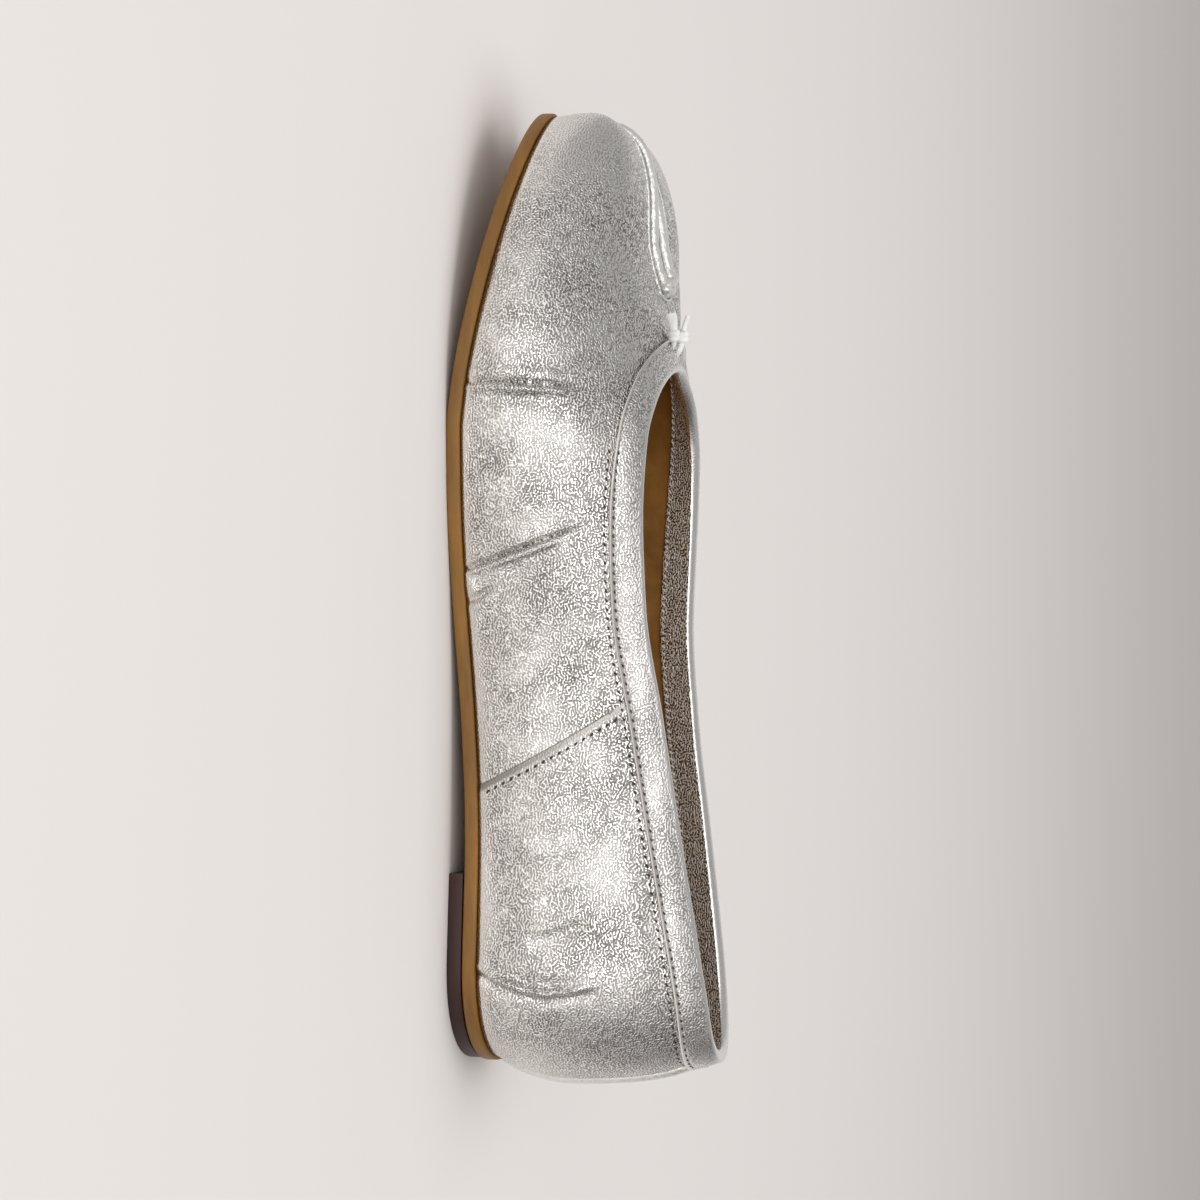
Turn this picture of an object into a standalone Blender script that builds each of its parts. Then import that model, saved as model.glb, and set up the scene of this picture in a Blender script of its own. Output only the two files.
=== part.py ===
"""Split-toe ballet flat, left shoe, built from the sizes of its last.

The shoe stands on its sole: +X runs to the toe, +Y to the outer (lateral) side and +Z up.
Sizes are in millimetres, and a station x is measured forward from the back of the heel.
"""

import bmesh
import bpy
import numpy as np
from mathutils import Vector
from mathutils.bvhtree import BVHTree

MM = 0.001
TINY = 1e-9
LATERAL = 1
MEDIAL = -1
SIDE_NAMES = {LATERAL: "lateral", MEDIAL: "medial"}

# Sole, heel and insole
LENGTH = 245.0
MEDIAL_LENGTH = 244.0
SOLE_THICKNESS = 3.4
SOLE_MARGIN = 0.9
HEEL_SEAT = 4.0
HEEL_FRONT = 52.0
HEEL_INSET = 0.5
BALL_BACK = 140.0
BALL_FRONT = 162.0
TOE_SPRING = 13.5
TOE_SPRING_POWER = 1.2
INSOLE_THICKNESS = 1.6
SEAT_GAP = 0.3

# Wall of the upper
WALL = 1.5
SECTION_POWER = 2.1
TUCK_HEIGHT = 12.0
HEEL_ROUND = 30.0
HEEL_POWER = 2.2
HEEL_LEAN_REACH = 60.0
THROAT = 180.0
BACK_SEAM_RIDGE = 0.5
SEAM_STATION = 73.5
SEAM_WIDTH = 0.4
QUARTER_STEP = 0.5
COVERED_TOP = 0.2
COVERED_FADE = 0.12

# Toe lobes and the split between them
LOBES_PART = 203.0
LOBE_SHARE = 0.5
NOSE_HEIGHT = 25.0
NOSE_POWER = 2.2
SPLIT_END = 199.5
SPLIT_FOOT = 205.5
SPLIT_ROOT_WIDTH = 1.2
SPLIT_WIDTH = 2.6
SPLIT_WIDENS = 228.0
SPLIT_FLOOR_TURN = 0.88
LIP_POWER = 7.0
INSOLE_CLEFT = 200.5

# Binding, welts and tie
BINDING_WIDTH = 8.0
BINDING_THICKNESS = 0.6
BINDING_STEPS = 3
WELT_RADIUS = 1.2
WELT_CLEARANCE = 0.45
KNOT_STATION = 188.2
KNOT_OFFSET = 3.2
KNOT_SIZE = (4.6, 5.6, 3.2)
TIE_RADIUS = 1.1
TIE_LENGTH = 4.6
TIE_APART = 1.6
TIE_SPREAD = 1.2
TIE_DROP = 3.0

# Rows over each stretch of the foot from heel to toe, and other counts of points
HEEL_ROWS = 10
HEEL_ROW_POWER = 1.3
RIDGE_ROW = 0.012
WAIST_ROWS = 5
ARCH_ROWS = 7
BALL_ROWS = 3
THROAT_ROWS = 9
CROWN_ROWS = 5
ROOT_ROWS = 5
TOE_ROWS = 12
WALL_COLUMNS = 15
FLAT_COLUMNS = 3
WELT_POINTS = 20
TIE_POINTS = 5
CORD_RESOLUTION = 2
KNOT_SEGMENTS = (14, 8)
PATCH_STEP = 0.02
WELD = 0.02
SHARP_ANGLE = 40.0


class Table:
    """Rows of sizes, read as a smooth curve that never swings past its rows."""

    def __init__(self, columns, rows):
        self.values = dict(zip(columns, np.array(rows, float).T))
        self.knots = self.values[columns[0]]

    def at(self, name, x):
        heights = self.values[name]
        steps = np.diff(self.knots)
        slopes = np.diff(heights) / steps
        tangents = np.zeros_like(heights)
        turning = slopes[:-1] * slopes[1:] <= 0
        total = np.where(turning, 1.0, slopes[:-1] + slopes[1:])
        tangents[1:-1] = np.where(turning, 0.0, 2 * slopes[:-1] * slopes[1:] / total)
        tangents[0] = slopes[0]
        tangents[-1] = slopes[-1]
        x = np.clip(x, self.knots[0], self.knots[-1])
        row = np.clip(np.searchsorted(self.knots, x, side="right") - 1, 0, len(steps) - 1)
        t = (x - self.knots[row]) / steps[row]
        rise = heights[row] + steps[row] * tangents[row] * t * (1 - t) ** 2
        rise += (heights[row + 1] - heights[row]) * t * t * (3 - 2 * t)
        return rise - steps[row] * tangents[row + 1] * t * t * (1 - t)


# Half width of the last at its widest height
WIDTH = Table(
    ("x", "lateral", "medial"),
    (
        (0, 29.5, 28.5),
        (30, 30.2, 28.5),
        (60, 30.2, 28.5),
        (90, 31.5, 29.0),
        (120, 35.5, 31.0),
        (150, 41.2, 36.0),
        (175, 43.5, 39.0),
        (200, 42.5, 39.0),
        (LENGTH, 40.0, 38.0),
    ),
)

# How far the feather edge is tucked under the widest line, deep in the arch
TUCK = Table(
    ("x", "lateral", "medial"),
    (
        (0, 0.3, 0.3),
        (35, 1.3, 1.3),
        (60, 1.3, 1.6),
        (100, 1.6, 8.0),
        (150, 1.3, 1.6),
        (LENGTH, 1.2, 1.2),
    ),
)

# Crown of the last above the floor; behind the throat the wall stops short of it
CREST = Table(
    ("x", "lateral", "medial"),
    (
        (0, 72.0, 72.0),
        (120, 72.0, 72.0),
        (140, 68.0, 68.0),
        (160, 59.0, 59.0),
        (170, 53.6, 53.6),
        (THROAT, 48.9, 48.9),
        (194, 45.9, 47.0),
        (SPLIT_END, 43.9, 46.0),
        (206, 42.0, 45.0),
        (213, 40.7, 44.3),
        (LENGTH, 40.2, 43.0),
    ),
)

# Height of the topline above the floor
TOPLINE = Table(
    ("x", "lateral", "medial"),
    (
        (0, 64.0, 64.0),
        (18, 62.8, 61.5),
        (35, 60.6, 59.4),
        (63, 56.1, 55.4),
        (91, 51.7, 51.2),
        (119, 47.6, 48.8),
        (147, 46.8, 49.2),
        (161, 46.9, 49.7),
        (171, 47.7, 49.7),
        (176, 48.3, 49.3),
        (THROAT, 48.9, 48.9),
    ),
)

# How far the back of the heel leans forward of its roundest height
HEEL_BACK = Table(("z", "forward"), ((8, 4.5), (15, 1.6), (25, 0.0), (40, 0.9), (64, 6.0)))

# Crown lines of the two lobes and the middle line that the split follows, across the foot
LOBES = Table(
    ("x", "lateral", "medial", "middle"),
    (
        (0, 0, 0, 0),
        (120, 0, 0, 0),
        (THROAT, -2, -2, -2),
        (203, 0.5, -13, -2.3),
        (213, 2, -17, -2.9),
        (LENGTH, 4, -18, -6),
    ),
)

# Station where each edge and the crown of a lobe begin to round off to its tip, and the tip's place
TIP_COLUMNS = ("outer", "taper", "inner", "crest", "x", "y")
TIPS = {
    LATERAL: dict(zip(TIP_COLUMNS, (176.0, 1.85, 233.0, 220.0, LENGTH, 4.0))),
    MEDIAL: dict(zip(TIP_COLUMNS, (185.0, 2.0, 235.0, 212.0, MEDIAL_LENGTH, -18.0))),
}

# Slant of the wall's rows, so that one of them runs along the side seam
SEAM_LEAN = Table(
    ("x", "lateral", "medial"),
    ((0, 0, 0), (25, 0, 0), (SEAM_STATION, 27.0, 8.5), (150, 0, 0), (LENGTH, 0, 0)),
)

# Course of a welt over a lobe: station, and turn from the crown (0) down into the split (1)
WELT_COURSE = Table(
    ("s", "x", "lateral", "medial"),
    (
        (0.00, 202.6, 0.32, 0.38),
        (0.08, 206.0, 0.36, 0.43),
        (0.30, 219.0, 0.39, 0.46),
        (0.50, 230.0, 0.39, 0.46),
        (0.66, 237.0, 0.43, 0.48),
        (0.80, 240.5, 0.55, 0.57),
        (0.90, 241.5, 0.72, 0.72),
        (1.00, 241.7, 0.93, 0.93),
    ),
)

# Colour, roughness and metallic value of each material
MATERIALS = {
    "silver leather": ((0.60, 0.60, 0.58), 0.35, 1.0),
    "sole leather": ((0.28, 0.13, 0.02), 0.55, 0.0),
    "heel leather": ((0.10, 0.03, 0.01), 0.55, 0.0),
    "sock leather": ((0.20, 0.09, 0.01), 0.6, 0.0),
    "tie leather": ((0.80, 0.79, 0.75), 0.45, 0.3),
}


def ease(t):
    """0 to 1 with a soft start and end."""
    t = np.clip(t, 0, 1)
    return t * t * (3 - 2 * t)


def rounding(x, start, end, power=2.0):
    """1 up to the start, then down a round shoulder to 0 at the end."""
    return (1 - np.clip((x - start) / (end - start), 0, 1) ** power) ** (1 / power)


def quarter_arc(turn, power):
    """Across and up values on a quarter of a superellipse, from (1, 0) at turn 0 to (0, 1) at turn 1."""
    across = np.cos(turn * np.pi / 2)
    up = np.sin(turn * np.pi / 2)
    scale = (np.abs(across) ** power + np.abs(up) ** power) ** (-1 / power)
    return across * scale, up * scale


def underside(x):
    """Height of the bottom of the sole above the floor."""
    seat = HEEL_SEAT * ease((BALL_BACK - x) / (BALL_BACK - HEEL_FRONT))
    spring = np.clip((x - BALL_FRONT) / (LENGTH - BALL_FRONT), 0, None)
    return seat + TOE_SPRING * spring**TOE_SPRING_POWER


def feather(x):
    """Height of the edge where the upper meets the sole."""
    return underside(x) + SOLE_THICKNESS + SEAT_GAP


def outer_edge(side, x):
    """Place across the foot of the widest line of one side."""
    tip = TIPS[side]
    width = side * WIDTH.at(SIDE_NAMES[side], x) * rounding(HEEL_ROUND - x, 0, HEEL_ROUND, HEEL_POWER)
    return tip["y"] + (width - tip["y"]) * rounding(x, tip["outer"], tip["x"], tip["taper"])


def split_depth(x):
    """0 behind the split, 1 where it reaches down to the feather edge."""
    return ease((x - SPLIT_END) / (SPLIT_FOOT - SPLIT_END))


def split_edge(side, x):
    """Place across the foot of a lobe's wall along the split."""
    tip = TIPS[side]
    root = SPLIT_ROOT_WIDTH * split_depth(x)
    opened = (SPLIT_WIDTH - SPLIT_ROOT_WIDTH) * ease((x - SPLIT_FOOT) / (SPLIT_WIDENS - SPLIT_FOOT))
    wall = LOBES.at("middle", x) + side * (root + opened) / 2
    return tip["y"] + (wall - tip["y"]) * rounding(x, tip["inner"], tip["x"])


def crest_height(side, x):
    drop = rounding(x, TIPS[side]["crest"], TIPS[side]["x"], NOSE_POWER)
    return NOSE_HEIGHT + (CREST.at(SIDE_NAMES[side], x) - NOSE_HEIGHT) * drop


def crown_share(x):
    """Share of a row's columns that lies outside the crown line: all of them behind the split."""
    return 1 - LOBE_SHARE * ease((x - THROAT) / (LOBES_PART - THROAT))


def split_floor(x):
    """Height of the bottom of the split: straight across from crown to crown behind it, then down."""
    lateral, medial, middle = (LOBES.at(name, x) for name in ("lateral", "medial", "middle"))
    share = (lateral - middle) / np.maximum(lateral - medial, TINY)
    crown = crest_height(LATERAL, x) * (1 - share) + crest_height(MEDIAL, x) * share
    return crown + (feather(x) - crown) * split_depth(x)


def plan_normals(x, y, facing):
    """Unit normals, seen from above, of the edges that run down the rows of x and y."""
    along = np.gradient(x, axis=0)
    across = np.gradient(y, axis=0)
    length = np.hypot(along, across)
    normal_x = -facing * across / length
    normal_y = facing * along / length
    return normal_x, normal_y


def end_normals(x, tip_x, normal_x, normal_y):
    """Normals at the back of the heel and at the tip point straight back and straight ahead."""
    back = x <= 0
    tip = x >= tip_x
    normal_x = np.where(back, -1.0, np.where(tip, 1.0, normal_x))
    normal_y = np.where(back | tip, 0.0, normal_y)
    return normal_x, normal_y


def upper_points(side, stations, columns):
    """Outer face of one half of the upper: a row for each station from heel to toe, and in it a point for
    each column from the feather edge (0) to the topline, the crown line or the foot of the split (1)."""
    name = SIDE_NAMES[side]
    tip = TIPS[side]
    base = np.asarray(stations, float)[:, None]
    w = np.asarray(columns, float)[None, :]
    x = base + SEAM_LEAN.at(name, base) * w
    bottom = feather(x)
    top = crest_height(side, x)
    crown = LOBES.at(name, x)
    crown = tip["y"] + (crown - tip["y"]) * rounding(x, tip["inner"], tip["x"])
    outer = outer_edge(side, x)
    inner = split_edge(side, x)

    # Up the outside of the foot
    rise = np.where(x < THROAT, (TOPLINE.at(name, x) - bottom) / (top - bottom), 1.0)
    rise = np.clip(rise, 0, 1)
    end_turn = np.arctan2(rise, (1 - rise**SECTION_POWER) ** (1 / SECTION_POWER)) / (np.pi / 2)
    share = crown_share(x)
    across, up = quarter_arc(end_turn * np.clip(w / share, 0, 1), SECTION_POWER)
    outside_y = crown + (outer - crown) * across
    outside_z = bottom + (top - bottom) * up

    # From the crown line down into the split
    near_tip = ease((x - tip["inner"]) / (tip["x"] - tip["inner"]))
    power = LIP_POWER + (SECTION_POWER - LIP_POWER) * near_tip
    floor = split_floor(x)
    turn = np.clip((w - share) / np.maximum(1 - share, TINY), 0, 1)
    down, over = quarter_arc(turn, power)
    down = 1 - turn + (down - 1 + turn) * split_depth(x)
    over = turn + (over - turn) * split_depth(x)
    inside_y = crown + (inner - crown) * over
    inside_z = floor + (top - floor) * down
    closed = ease((turn - SPLIT_FLOOR_TURN) / (1 - SPLIT_FLOOR_TURN)) * (x <= SPLIT_FOOT)
    inside_y = inside_y + (LOBES.at("middle", x) - inside_y) * closed

    outside = w <= share + TINY
    y = np.where(outside, outside_y, inside_y)
    z = np.where(outside, outside_z, inside_z)

    # Tuck the feather edge under, and raise the quarter over the vamp at the side seam
    out_x, out_y = plan_normals(x, outer, side)
    in_x, in_y = plan_normals(x, inner, -side)
    normal_x, normal_y = np.where(outside, out_x, in_x), np.where(outside, out_y, in_y)
    normal_x, normal_y = end_normals(x, tip["x"], normal_x, normal_y)
    tuck = TUCK.at(name, x) * np.where(outside, 1.0, near_tip)
    push = -tuck * np.clip(1 - (z - bottom) / TUCK_HEIGHT, 0, 1) ** 2
    seen = ease((1 - w - COVERED_TOP) / COVERED_FADE)
    push = push + QUARTER_STEP * (base <= SEAM_STATION) * seen
    push = push + BACK_SEAM_RIDGE * (base <= 0) * seen

    lean = HEEL_BACK.at("forward", z) * np.clip(1 - x / HEEL_LEAN_REACH, 0, 1) ** 2
    return np.stack([x + lean + push * normal_x, y + push * normal_y, z], axis=-1)


def even(rows):
    """Even steps from 0 to 1."""
    return np.linspace(0, 1, rows)


def closing(rows):
    """Steps from 0 to 1 that grow shorter towards 1."""
    return np.sin(even(rows) * np.pi / 2)


def stations_to(tip_x):
    """Stations of the upper's rows: close at the heel, the side seam, the throat, the split and the tip."""
    heel = HEEL_ROUND * (1 - np.cos(even(HEEL_ROWS) * np.pi / 2)) ** HEEL_ROW_POWER
    waist = HEEL_ROUND + (SEAM_STATION - HEEL_ROUND) * even(WAIST_ROWS)
    arch = SEAM_STATION + (BALL_BACK - SEAM_STATION) * even(ARCH_ROWS)
    arch[0] = SEAM_STATION + SEAM_WIDTH
    ball = BALL_BACK + (BALL_FRONT - BALL_BACK) * even(BALL_ROWS)
    throat = BALL_FRONT + (THROAT - BALL_FRONT) * closing(THROAT_ROWS)
    crown = THROAT + (SPLIT_END - THROAT) * even(CROWN_ROWS)
    root = SPLIT_END + (SPLIT_FOOT - SPLIT_END) * even(ROOT_ROWS)
    toe = SPLIT_FOOT + (tip_x - SPLIT_FOOT) * closing(TOE_ROWS)
    onward = [stretch[1:] for stretch in (ball, throat, crown, root, toe)]
    return np.concatenate([heel[:1], [RIDGE_ROW], heel[1:], waist[1:], arch, *onward])


def add_grid(bm, points):
    """Adds a grid of quads that follows a block of points in millimetres."""
    rows, columns = points.shape[:2]
    grid = bmesh.ops.create_grid(bm, x_segments=rows - 1, y_segments=columns - 1, size=0.5)
    for vertex in grid["verts"]:
        row = round((vertex.co.x + 0.5) * (rows - 1))
        column = round((vertex.co.y + 0.5) * (columns - 1))
        vertex.co = Vector(points[row, column]) * MM


def joined_grids(blocks):
    """One surface from several blocks of points, welded where they meet."""
    bm = bmesh.new()
    for points in blocks:
        add_grid(bm, points)
    bmesh.ops.remove_doubles(bm, verts=bm.verts, dist=WELD * MM)
    bmesh.ops.dissolve_degenerate(bm, edges=bm.edges, dist=WELD * MM)
    bmesh.ops.recalc_face_normals(bm, faces=bm.faces)
    return bm


def face_towards(bm, direction):
    """Turns the whole surface round if its farthest face that way looks back."""
    bm.normal_update()
    farthest = max(bm.faces, key=lambda face: face.calc_center_median().dot(direction))
    if farthest.normal.dot(direction) < 0:
        bmesh.ops.reverse_faces(bm, faces=bm.faces)


def add_object(collection, name, data, material):
    obj = bpy.data.objects.new(name, data)
    data.materials.append(bpy.data.materials[material])
    collection.objects.link(obj)
    return obj


def mesh_object(collection, name, bm, material):
    mesh = bpy.data.meshes.new(name)
    bm.to_mesh(mesh)
    bm.free()
    mesh.shade_smooth()
    mesh.set_sharp_from_angle(angle=np.radians(SHARP_ANGLE))
    return add_object(collection, name, mesh, material)


def solidify(obj, thickness, offset):
    shell = obj.modifiers.new("thickness", "SOLIDIFY")
    shell.thickness = thickness * MM
    shell.offset = offset
    shell.use_quality_normals = True


def upper_surface():
    blocks = [upper_points(side, stations_to(TIPS[side]["x"]), even(WALL_COLUMNS)) for side in TIPS]
    bm = joined_grids(blocks)
    face_towards(bm, Vector((0, 1, 0)))
    return bm


def make_upper(collection):
    obj = mesh_object(collection, "upper", upper_surface(), "silver leather")
    solidify(obj, WALL, -1)


def sole_edges(side, margin, cleft):
    """Outer and inner edge, seen from above, of a flat piece whose outline stands a margin outside the
    feather edge, with its cleft between the lobes starting at the given station."""
    tip = TIPS[side]
    stations = stations_to(tip["x"])
    rim = upper_points(side, stations, [0.0, 1.0])
    edges = []
    for column, facing in ((0, side), (1, -side)):
        x, y = rim[:, column, :1], rim[:, column, 1:2]
        normals = np.concatenate(plan_normals(x, y, facing), axis=1)
        normals[0] = (-1, 0)
        normals[-1] = (1, 0)
        edges.append((rim[:, column, :2], normals))
    (foot, foot_normal), (wall, wall_normal) = edges
    outer = foot + margin * foot_normal
    opening = np.sqrt(np.clip((stations - cleft) / (SPLIT_FOOT - cleft + TINY), 0, 1))
    near_tip = ease((stations - tip["inner"]) / (tip["x"] - tip["inner"]))
    reach = margin * np.where(margin > 0, near_tip, opening)
    inner = wall + reach[:, None] * wall_normal
    behind = stations <= SPLIT_FOOT
    inner[behind, 0] = outer[behind, 0]
    inner[behind, 1] = LOBES.at("middle", stations[behind]) - side * min(margin, 0) * opening[behind]
    inner[0] = outer[0]
    return outer, inner, behind


def flat_piece(collection, name, material, margin, cleft, lift, thickness, last_station=LENGTH + 1):
    """A piece that follows the underside of the foot, its bottom face a lift above it."""
    edges = {side: sole_edges(side, margin, cleft) for side in TIPS}
    shared = edges[LATERAL][2]
    middle_x = sum(inner[shared, 0] for _, inner, _ in edges.values()) / 2
    blocks = []
    for outer, inner, _ in edges.values():
        inner[shared, 0] = middle_x
        keep = np.maximum(outer[:, 0], inner[:, 0]) < last_station
        outer, inner = outer[keep], inner[keep]
        if not keep.all():
            outer = np.append(outer, [(last_station, outer[-1, 1])], axis=0)
            inner = np.append(inner, [(last_station, inner[-1, 1])], axis=0)
        t = even(FLAT_COLUMNS)[None, :, None]
        plan = outer[:, None] * (1 - t) + inner[:, None] * t
        height = underside(plan[..., :1]) + lift
        blocks.append(np.concatenate([plan, height], axis=-1))
    bm = joined_grids(blocks)
    face_towards(bm, Vector((0, 0, -1)))
    obj = mesh_object(collection, name, bm, material)
    solidify(obj, thickness, -1)


def make_outsole(collection):
    flat_piece(collection, "outsole", "sole leather", SOLE_MARGIN, SPLIT_FOOT, 0.0, SOLE_THICKNESS)


def make_insole(collection):
    inset = -(WALL + 2 * SEAT_GAP)
    lift = SOLE_THICKNESS + SEAT_GAP
    flat_piece(collection, "insole", "sock leather", inset, INSOLE_CLEFT, lift, INSOLE_THICKNESS)


def make_heel(collection):
    height = HEEL_SEAT - SEAT_GAP
    margin = SOLE_MARGIN - HEEL_INSET
    flat_piece(collection, "heel", "heel leather", margin, SPLIT_FOOT, -HEEL_SEAT, height, HEEL_FRONT)


def topline_loop():
    """Points round the topline: up the lateral side from the back seam to the throat, and back."""
    sides = []
    for side in TIPS:
        stations = stations_to(TIPS[side]["x"])
        stations = stations[stations <= THROAT]
        sides.append(upper_points(side, stations, [1.0])[:, 0])
    lateral, medial = sides
    return np.concatenate([lateral, medial[-2:0:-1]])


def strip_rows(surface, loop, width, steps):
    """Points and normals on the surface at even steps down from the loop, away from the opening."""
    tree = BVHTree.FromBMesh(surface)
    rows = []
    count = len(loop)
    for index, point in enumerate(loop):
        tangent = Vector(loop[(index + 1) % count] - loop[index - 1]).normalized()
        here = Vector(point) * MM
        row = []
        for _ in range(steps + 1):
            place, normal, _, _ = tree.find_nearest(here)
            down = normal.cross(tangent).normalized()
            row.append((place, normal, down))
            here = place + down * (width / steps * MM)
        rows.append(row)
    return rows


def make_binding(collection):
    """The strip folded over the topline: down the outside, across the edge and down the inside."""
    surface = upper_surface()
    rows = strip_rows(surface, topline_loop(), BINDING_WIDTH, BINDING_STEPS)
    surface.free()
    outside = SEAT_GAP * MM
    inside = -(WALL + SEAT_GAP) * MM
    block = []
    for row in rows:
        above = row[0][2] * (-SEAT_GAP * MM)
        outer = [place + normal * outside for place, normal, _ in row]
        inner = [place + normal * inside for place, normal, _ in row]
        outer[0] = outer[0] + above
        inner[0] = inner[0] + above
        block.append([tuple(point / MM) for point in [*reversed(outer), *inner]])
    block.append(block[0])
    bm = joined_grids([np.array(block)])
    face_towards(bm, Vector((0, 1, 0)))
    obj = mesh_object(collection, "collar_binding", bm, "silver leather")
    solidify(obj, BINDING_THICKNESS, 1)


def tube(collection, name, path, radius, material):
    """A round cord along points in millimetres."""
    curve = bpy.data.curves.new(name, "CURVE")
    curve.dimensions = "3D"
    curve.bevel_depth = radius * MM
    curve.bevel_resolution = CORD_RESOLUTION
    curve.use_fill_caps = True
    spline = curve.splines.new("POLY")
    spline.points.add(len(path) - 1)
    for point, place in zip(spline.points, path):
        point.co = (*(np.array(place) * MM), 1)
    spline.use_smooth = True
    return add_object(collection, name, curve, material)


def welt_path(side):
    """Centre line of a welt, standing clear of the lobe's skin."""
    s = even(WELT_POINTS)
    scale = (TIPS[side]["x"] - SPLIT_END) / (LENGTH - SPLIT_END)
    x = SPLIT_END + (WELT_COURSE.at("x", s) - SPLIT_END) * scale
    turn = WELT_COURSE.at(SIDE_NAMES[side], s)
    share = crown_share(x)
    columns = share + (1 - share) * turn
    near = np.array((-PATCH_STEP, 0, PATCH_STEP))
    path = []
    for station, column in zip(x, columns):
        patch = upper_points(side, station + near, column + near)
        along = patch[2, 1] - patch[0, 1]
        around = patch[1, 2] - patch[1, 0]
        normal = np.cross(around, along) * side
        normal = normal / np.linalg.norm(normal)
        path.append(patch[1, 1] + normal * (WELT_RADIUS + WELT_CLEARANCE))
    return path


def make_welts(collection):
    for side, name in SIDE_NAMES.items():
        tube(collection, f"split_welt_{name}", welt_path(side), WELT_RADIUS, "silver leather")


def make_tie(collection):
    """The knot of the drawstring at the throat, with its two cut ends lying forward."""
    binding = float(crest_height(LATERAL, KNOT_STATION)) + SEAT_GAP + BINDING_THICKNESS
    lift = binding + SEAT_GAP + KNOT_SIZE[2] / 2
    bm = bmesh.new()
    across, along = KNOT_SEGMENTS
    bmesh.ops.create_uvsphere(bm, u_segments=across, v_segments=along, radius=MM / 2)
    bmesh.ops.scale(bm, vec=Vector(KNOT_SIZE), verts=bm.verts)
    bmesh.ops.translate(bm, vec=Vector((KNOT_STATION, KNOT_OFFSET, lift)) * MM, verts=bm.verts)
    mesh_object(collection, "tie_knot", bm, "tie leather")
    front = KNOT_STATION + KNOT_SIZE[0] / 2 + SEAT_GAP
    for side, name in SIDE_NAMES.items():
        start = np.array((front, KNOT_OFFSET + side * TIE_APART, lift))
        course = np.array((TIE_LENGTH, side * TIE_SPREAD, -TIE_DROP))
        path = [start + course * t for t in even(TIE_POINTS)]
        tube(collection, f"tie_end_{name}", path, TIE_RADIUS, "tie leather")


def make_materials():
    for name, (colour, roughness, metallic) in MATERIALS.items():
        material = bpy.data.materials.new(name)
        material.use_nodes = True
        shader = material.node_tree.nodes["Principled BSDF"]
        shader.inputs["Base Color"].default_value = (*colour, 1)
        shader.inputs["Roughness"].default_value = roughness
        shader.inputs["Metallic"].default_value = metallic


def mesh_points(obj):
    """Points of a piece as Blender evaluates it."""
    mesh = obj.to_mesh()
    points = np.array([tuple(vertex.co) for vertex in mesh.vertices])
    obj.to_mesh_clear()
    return points


def stand_at_origin(collection):
    """Parents every piece to an empty that puts the middle of the shoe's outline over the origin."""
    bpy.context.view_layer.update()
    graph = bpy.context.evaluated_depsgraph_get()
    pieces = list(collection.objects)
    corners = np.concatenate([mesh_points(obj.evaluated_get(graph)) for obj in pieces])
    middle = (corners.min(axis=0) + corners.max(axis=0)) / 2
    base = bpy.data.objects.new("shoe", None)
    collection.objects.link(base)
    base.location = (-middle[0], -middle[1], -corners[:, 2].min())
    for obj in pieces:
        obj.parent = base


def main():
    for obj in list(bpy.data.objects):
        bpy.data.objects.remove(obj)
    make_materials()
    collection = bpy.data.collections.new("split-toe ballet flat")
    bpy.context.scene.collection.children.link(collection)
    make_outsole(collection)
    make_heel(collection)
    make_insole(collection)
    make_upper(collection)
    make_binding(collection)
    make_welts(collection)
    make_tie(collection)
    stand_at_origin(collection)


if __name__ == "__main__":
    main()
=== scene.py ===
"""Looks of the split-toe ballet flat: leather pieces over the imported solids, their finishes and a stage.

Sizes are in millimetres, apart from the properties, which are in metres. A station x is measured forward
from the back of the heel, +Y is the outer side of the left foot and +Z is up, as in the part itself.
"""

import functools

import bmesh
import bpy
import numpy as np
from mathutils import Matrix, Vector, kdtree, noise
from mathutils.bvhtree import BVHTree


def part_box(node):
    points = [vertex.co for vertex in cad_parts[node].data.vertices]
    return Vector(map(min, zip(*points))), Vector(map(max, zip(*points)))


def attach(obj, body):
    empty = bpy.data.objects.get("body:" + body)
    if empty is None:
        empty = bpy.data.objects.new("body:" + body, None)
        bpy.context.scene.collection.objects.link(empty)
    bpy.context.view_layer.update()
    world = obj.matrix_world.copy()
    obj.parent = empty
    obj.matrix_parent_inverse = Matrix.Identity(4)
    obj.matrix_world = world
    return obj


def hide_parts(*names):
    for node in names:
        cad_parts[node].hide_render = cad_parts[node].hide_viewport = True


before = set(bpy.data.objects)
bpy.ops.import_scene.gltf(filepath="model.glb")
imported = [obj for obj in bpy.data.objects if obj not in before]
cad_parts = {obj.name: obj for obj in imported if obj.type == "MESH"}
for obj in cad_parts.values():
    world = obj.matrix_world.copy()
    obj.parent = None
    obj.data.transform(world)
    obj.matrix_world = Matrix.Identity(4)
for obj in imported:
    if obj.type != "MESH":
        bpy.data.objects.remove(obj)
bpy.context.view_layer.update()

bl_info = {
    "name": "Split-toe ballet flat",
    "version": (1, 0, 0),
    "blender": (4, 5, 0),
    "location": "View3D > Sidebar > Flat",
    "description": "Makes the leather pieces, the stitching and the stage of a split-toe ballet flat",
    "category": "Object",
}

MM = 0.001
TINY = 1e-9
LATERAL = 1
MEDIAL = -1
SIDE_NAMES = {LATERAL: "lateral", MEDIAL: "medial"}
BODY = "root"

# Sole, heel and insole
LENGTH = 245.0
MEDIAL_LENGTH = 244.0
SOLE_THICKNESS = 3.4
SOLE_MARGIN = 0.9
HEEL_SEAT = 4.0
HEEL_FRONT = 52.0
HEEL_INSET = 0.5
BALL_BACK = 140.0
BALL_FRONT = 162.0
TOE_SPRING = 13.5
TOE_SPRING_POWER = 1.2
INSOLE_THICKNESS = 1.6
SEAT_GAP = 0.3

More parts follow.
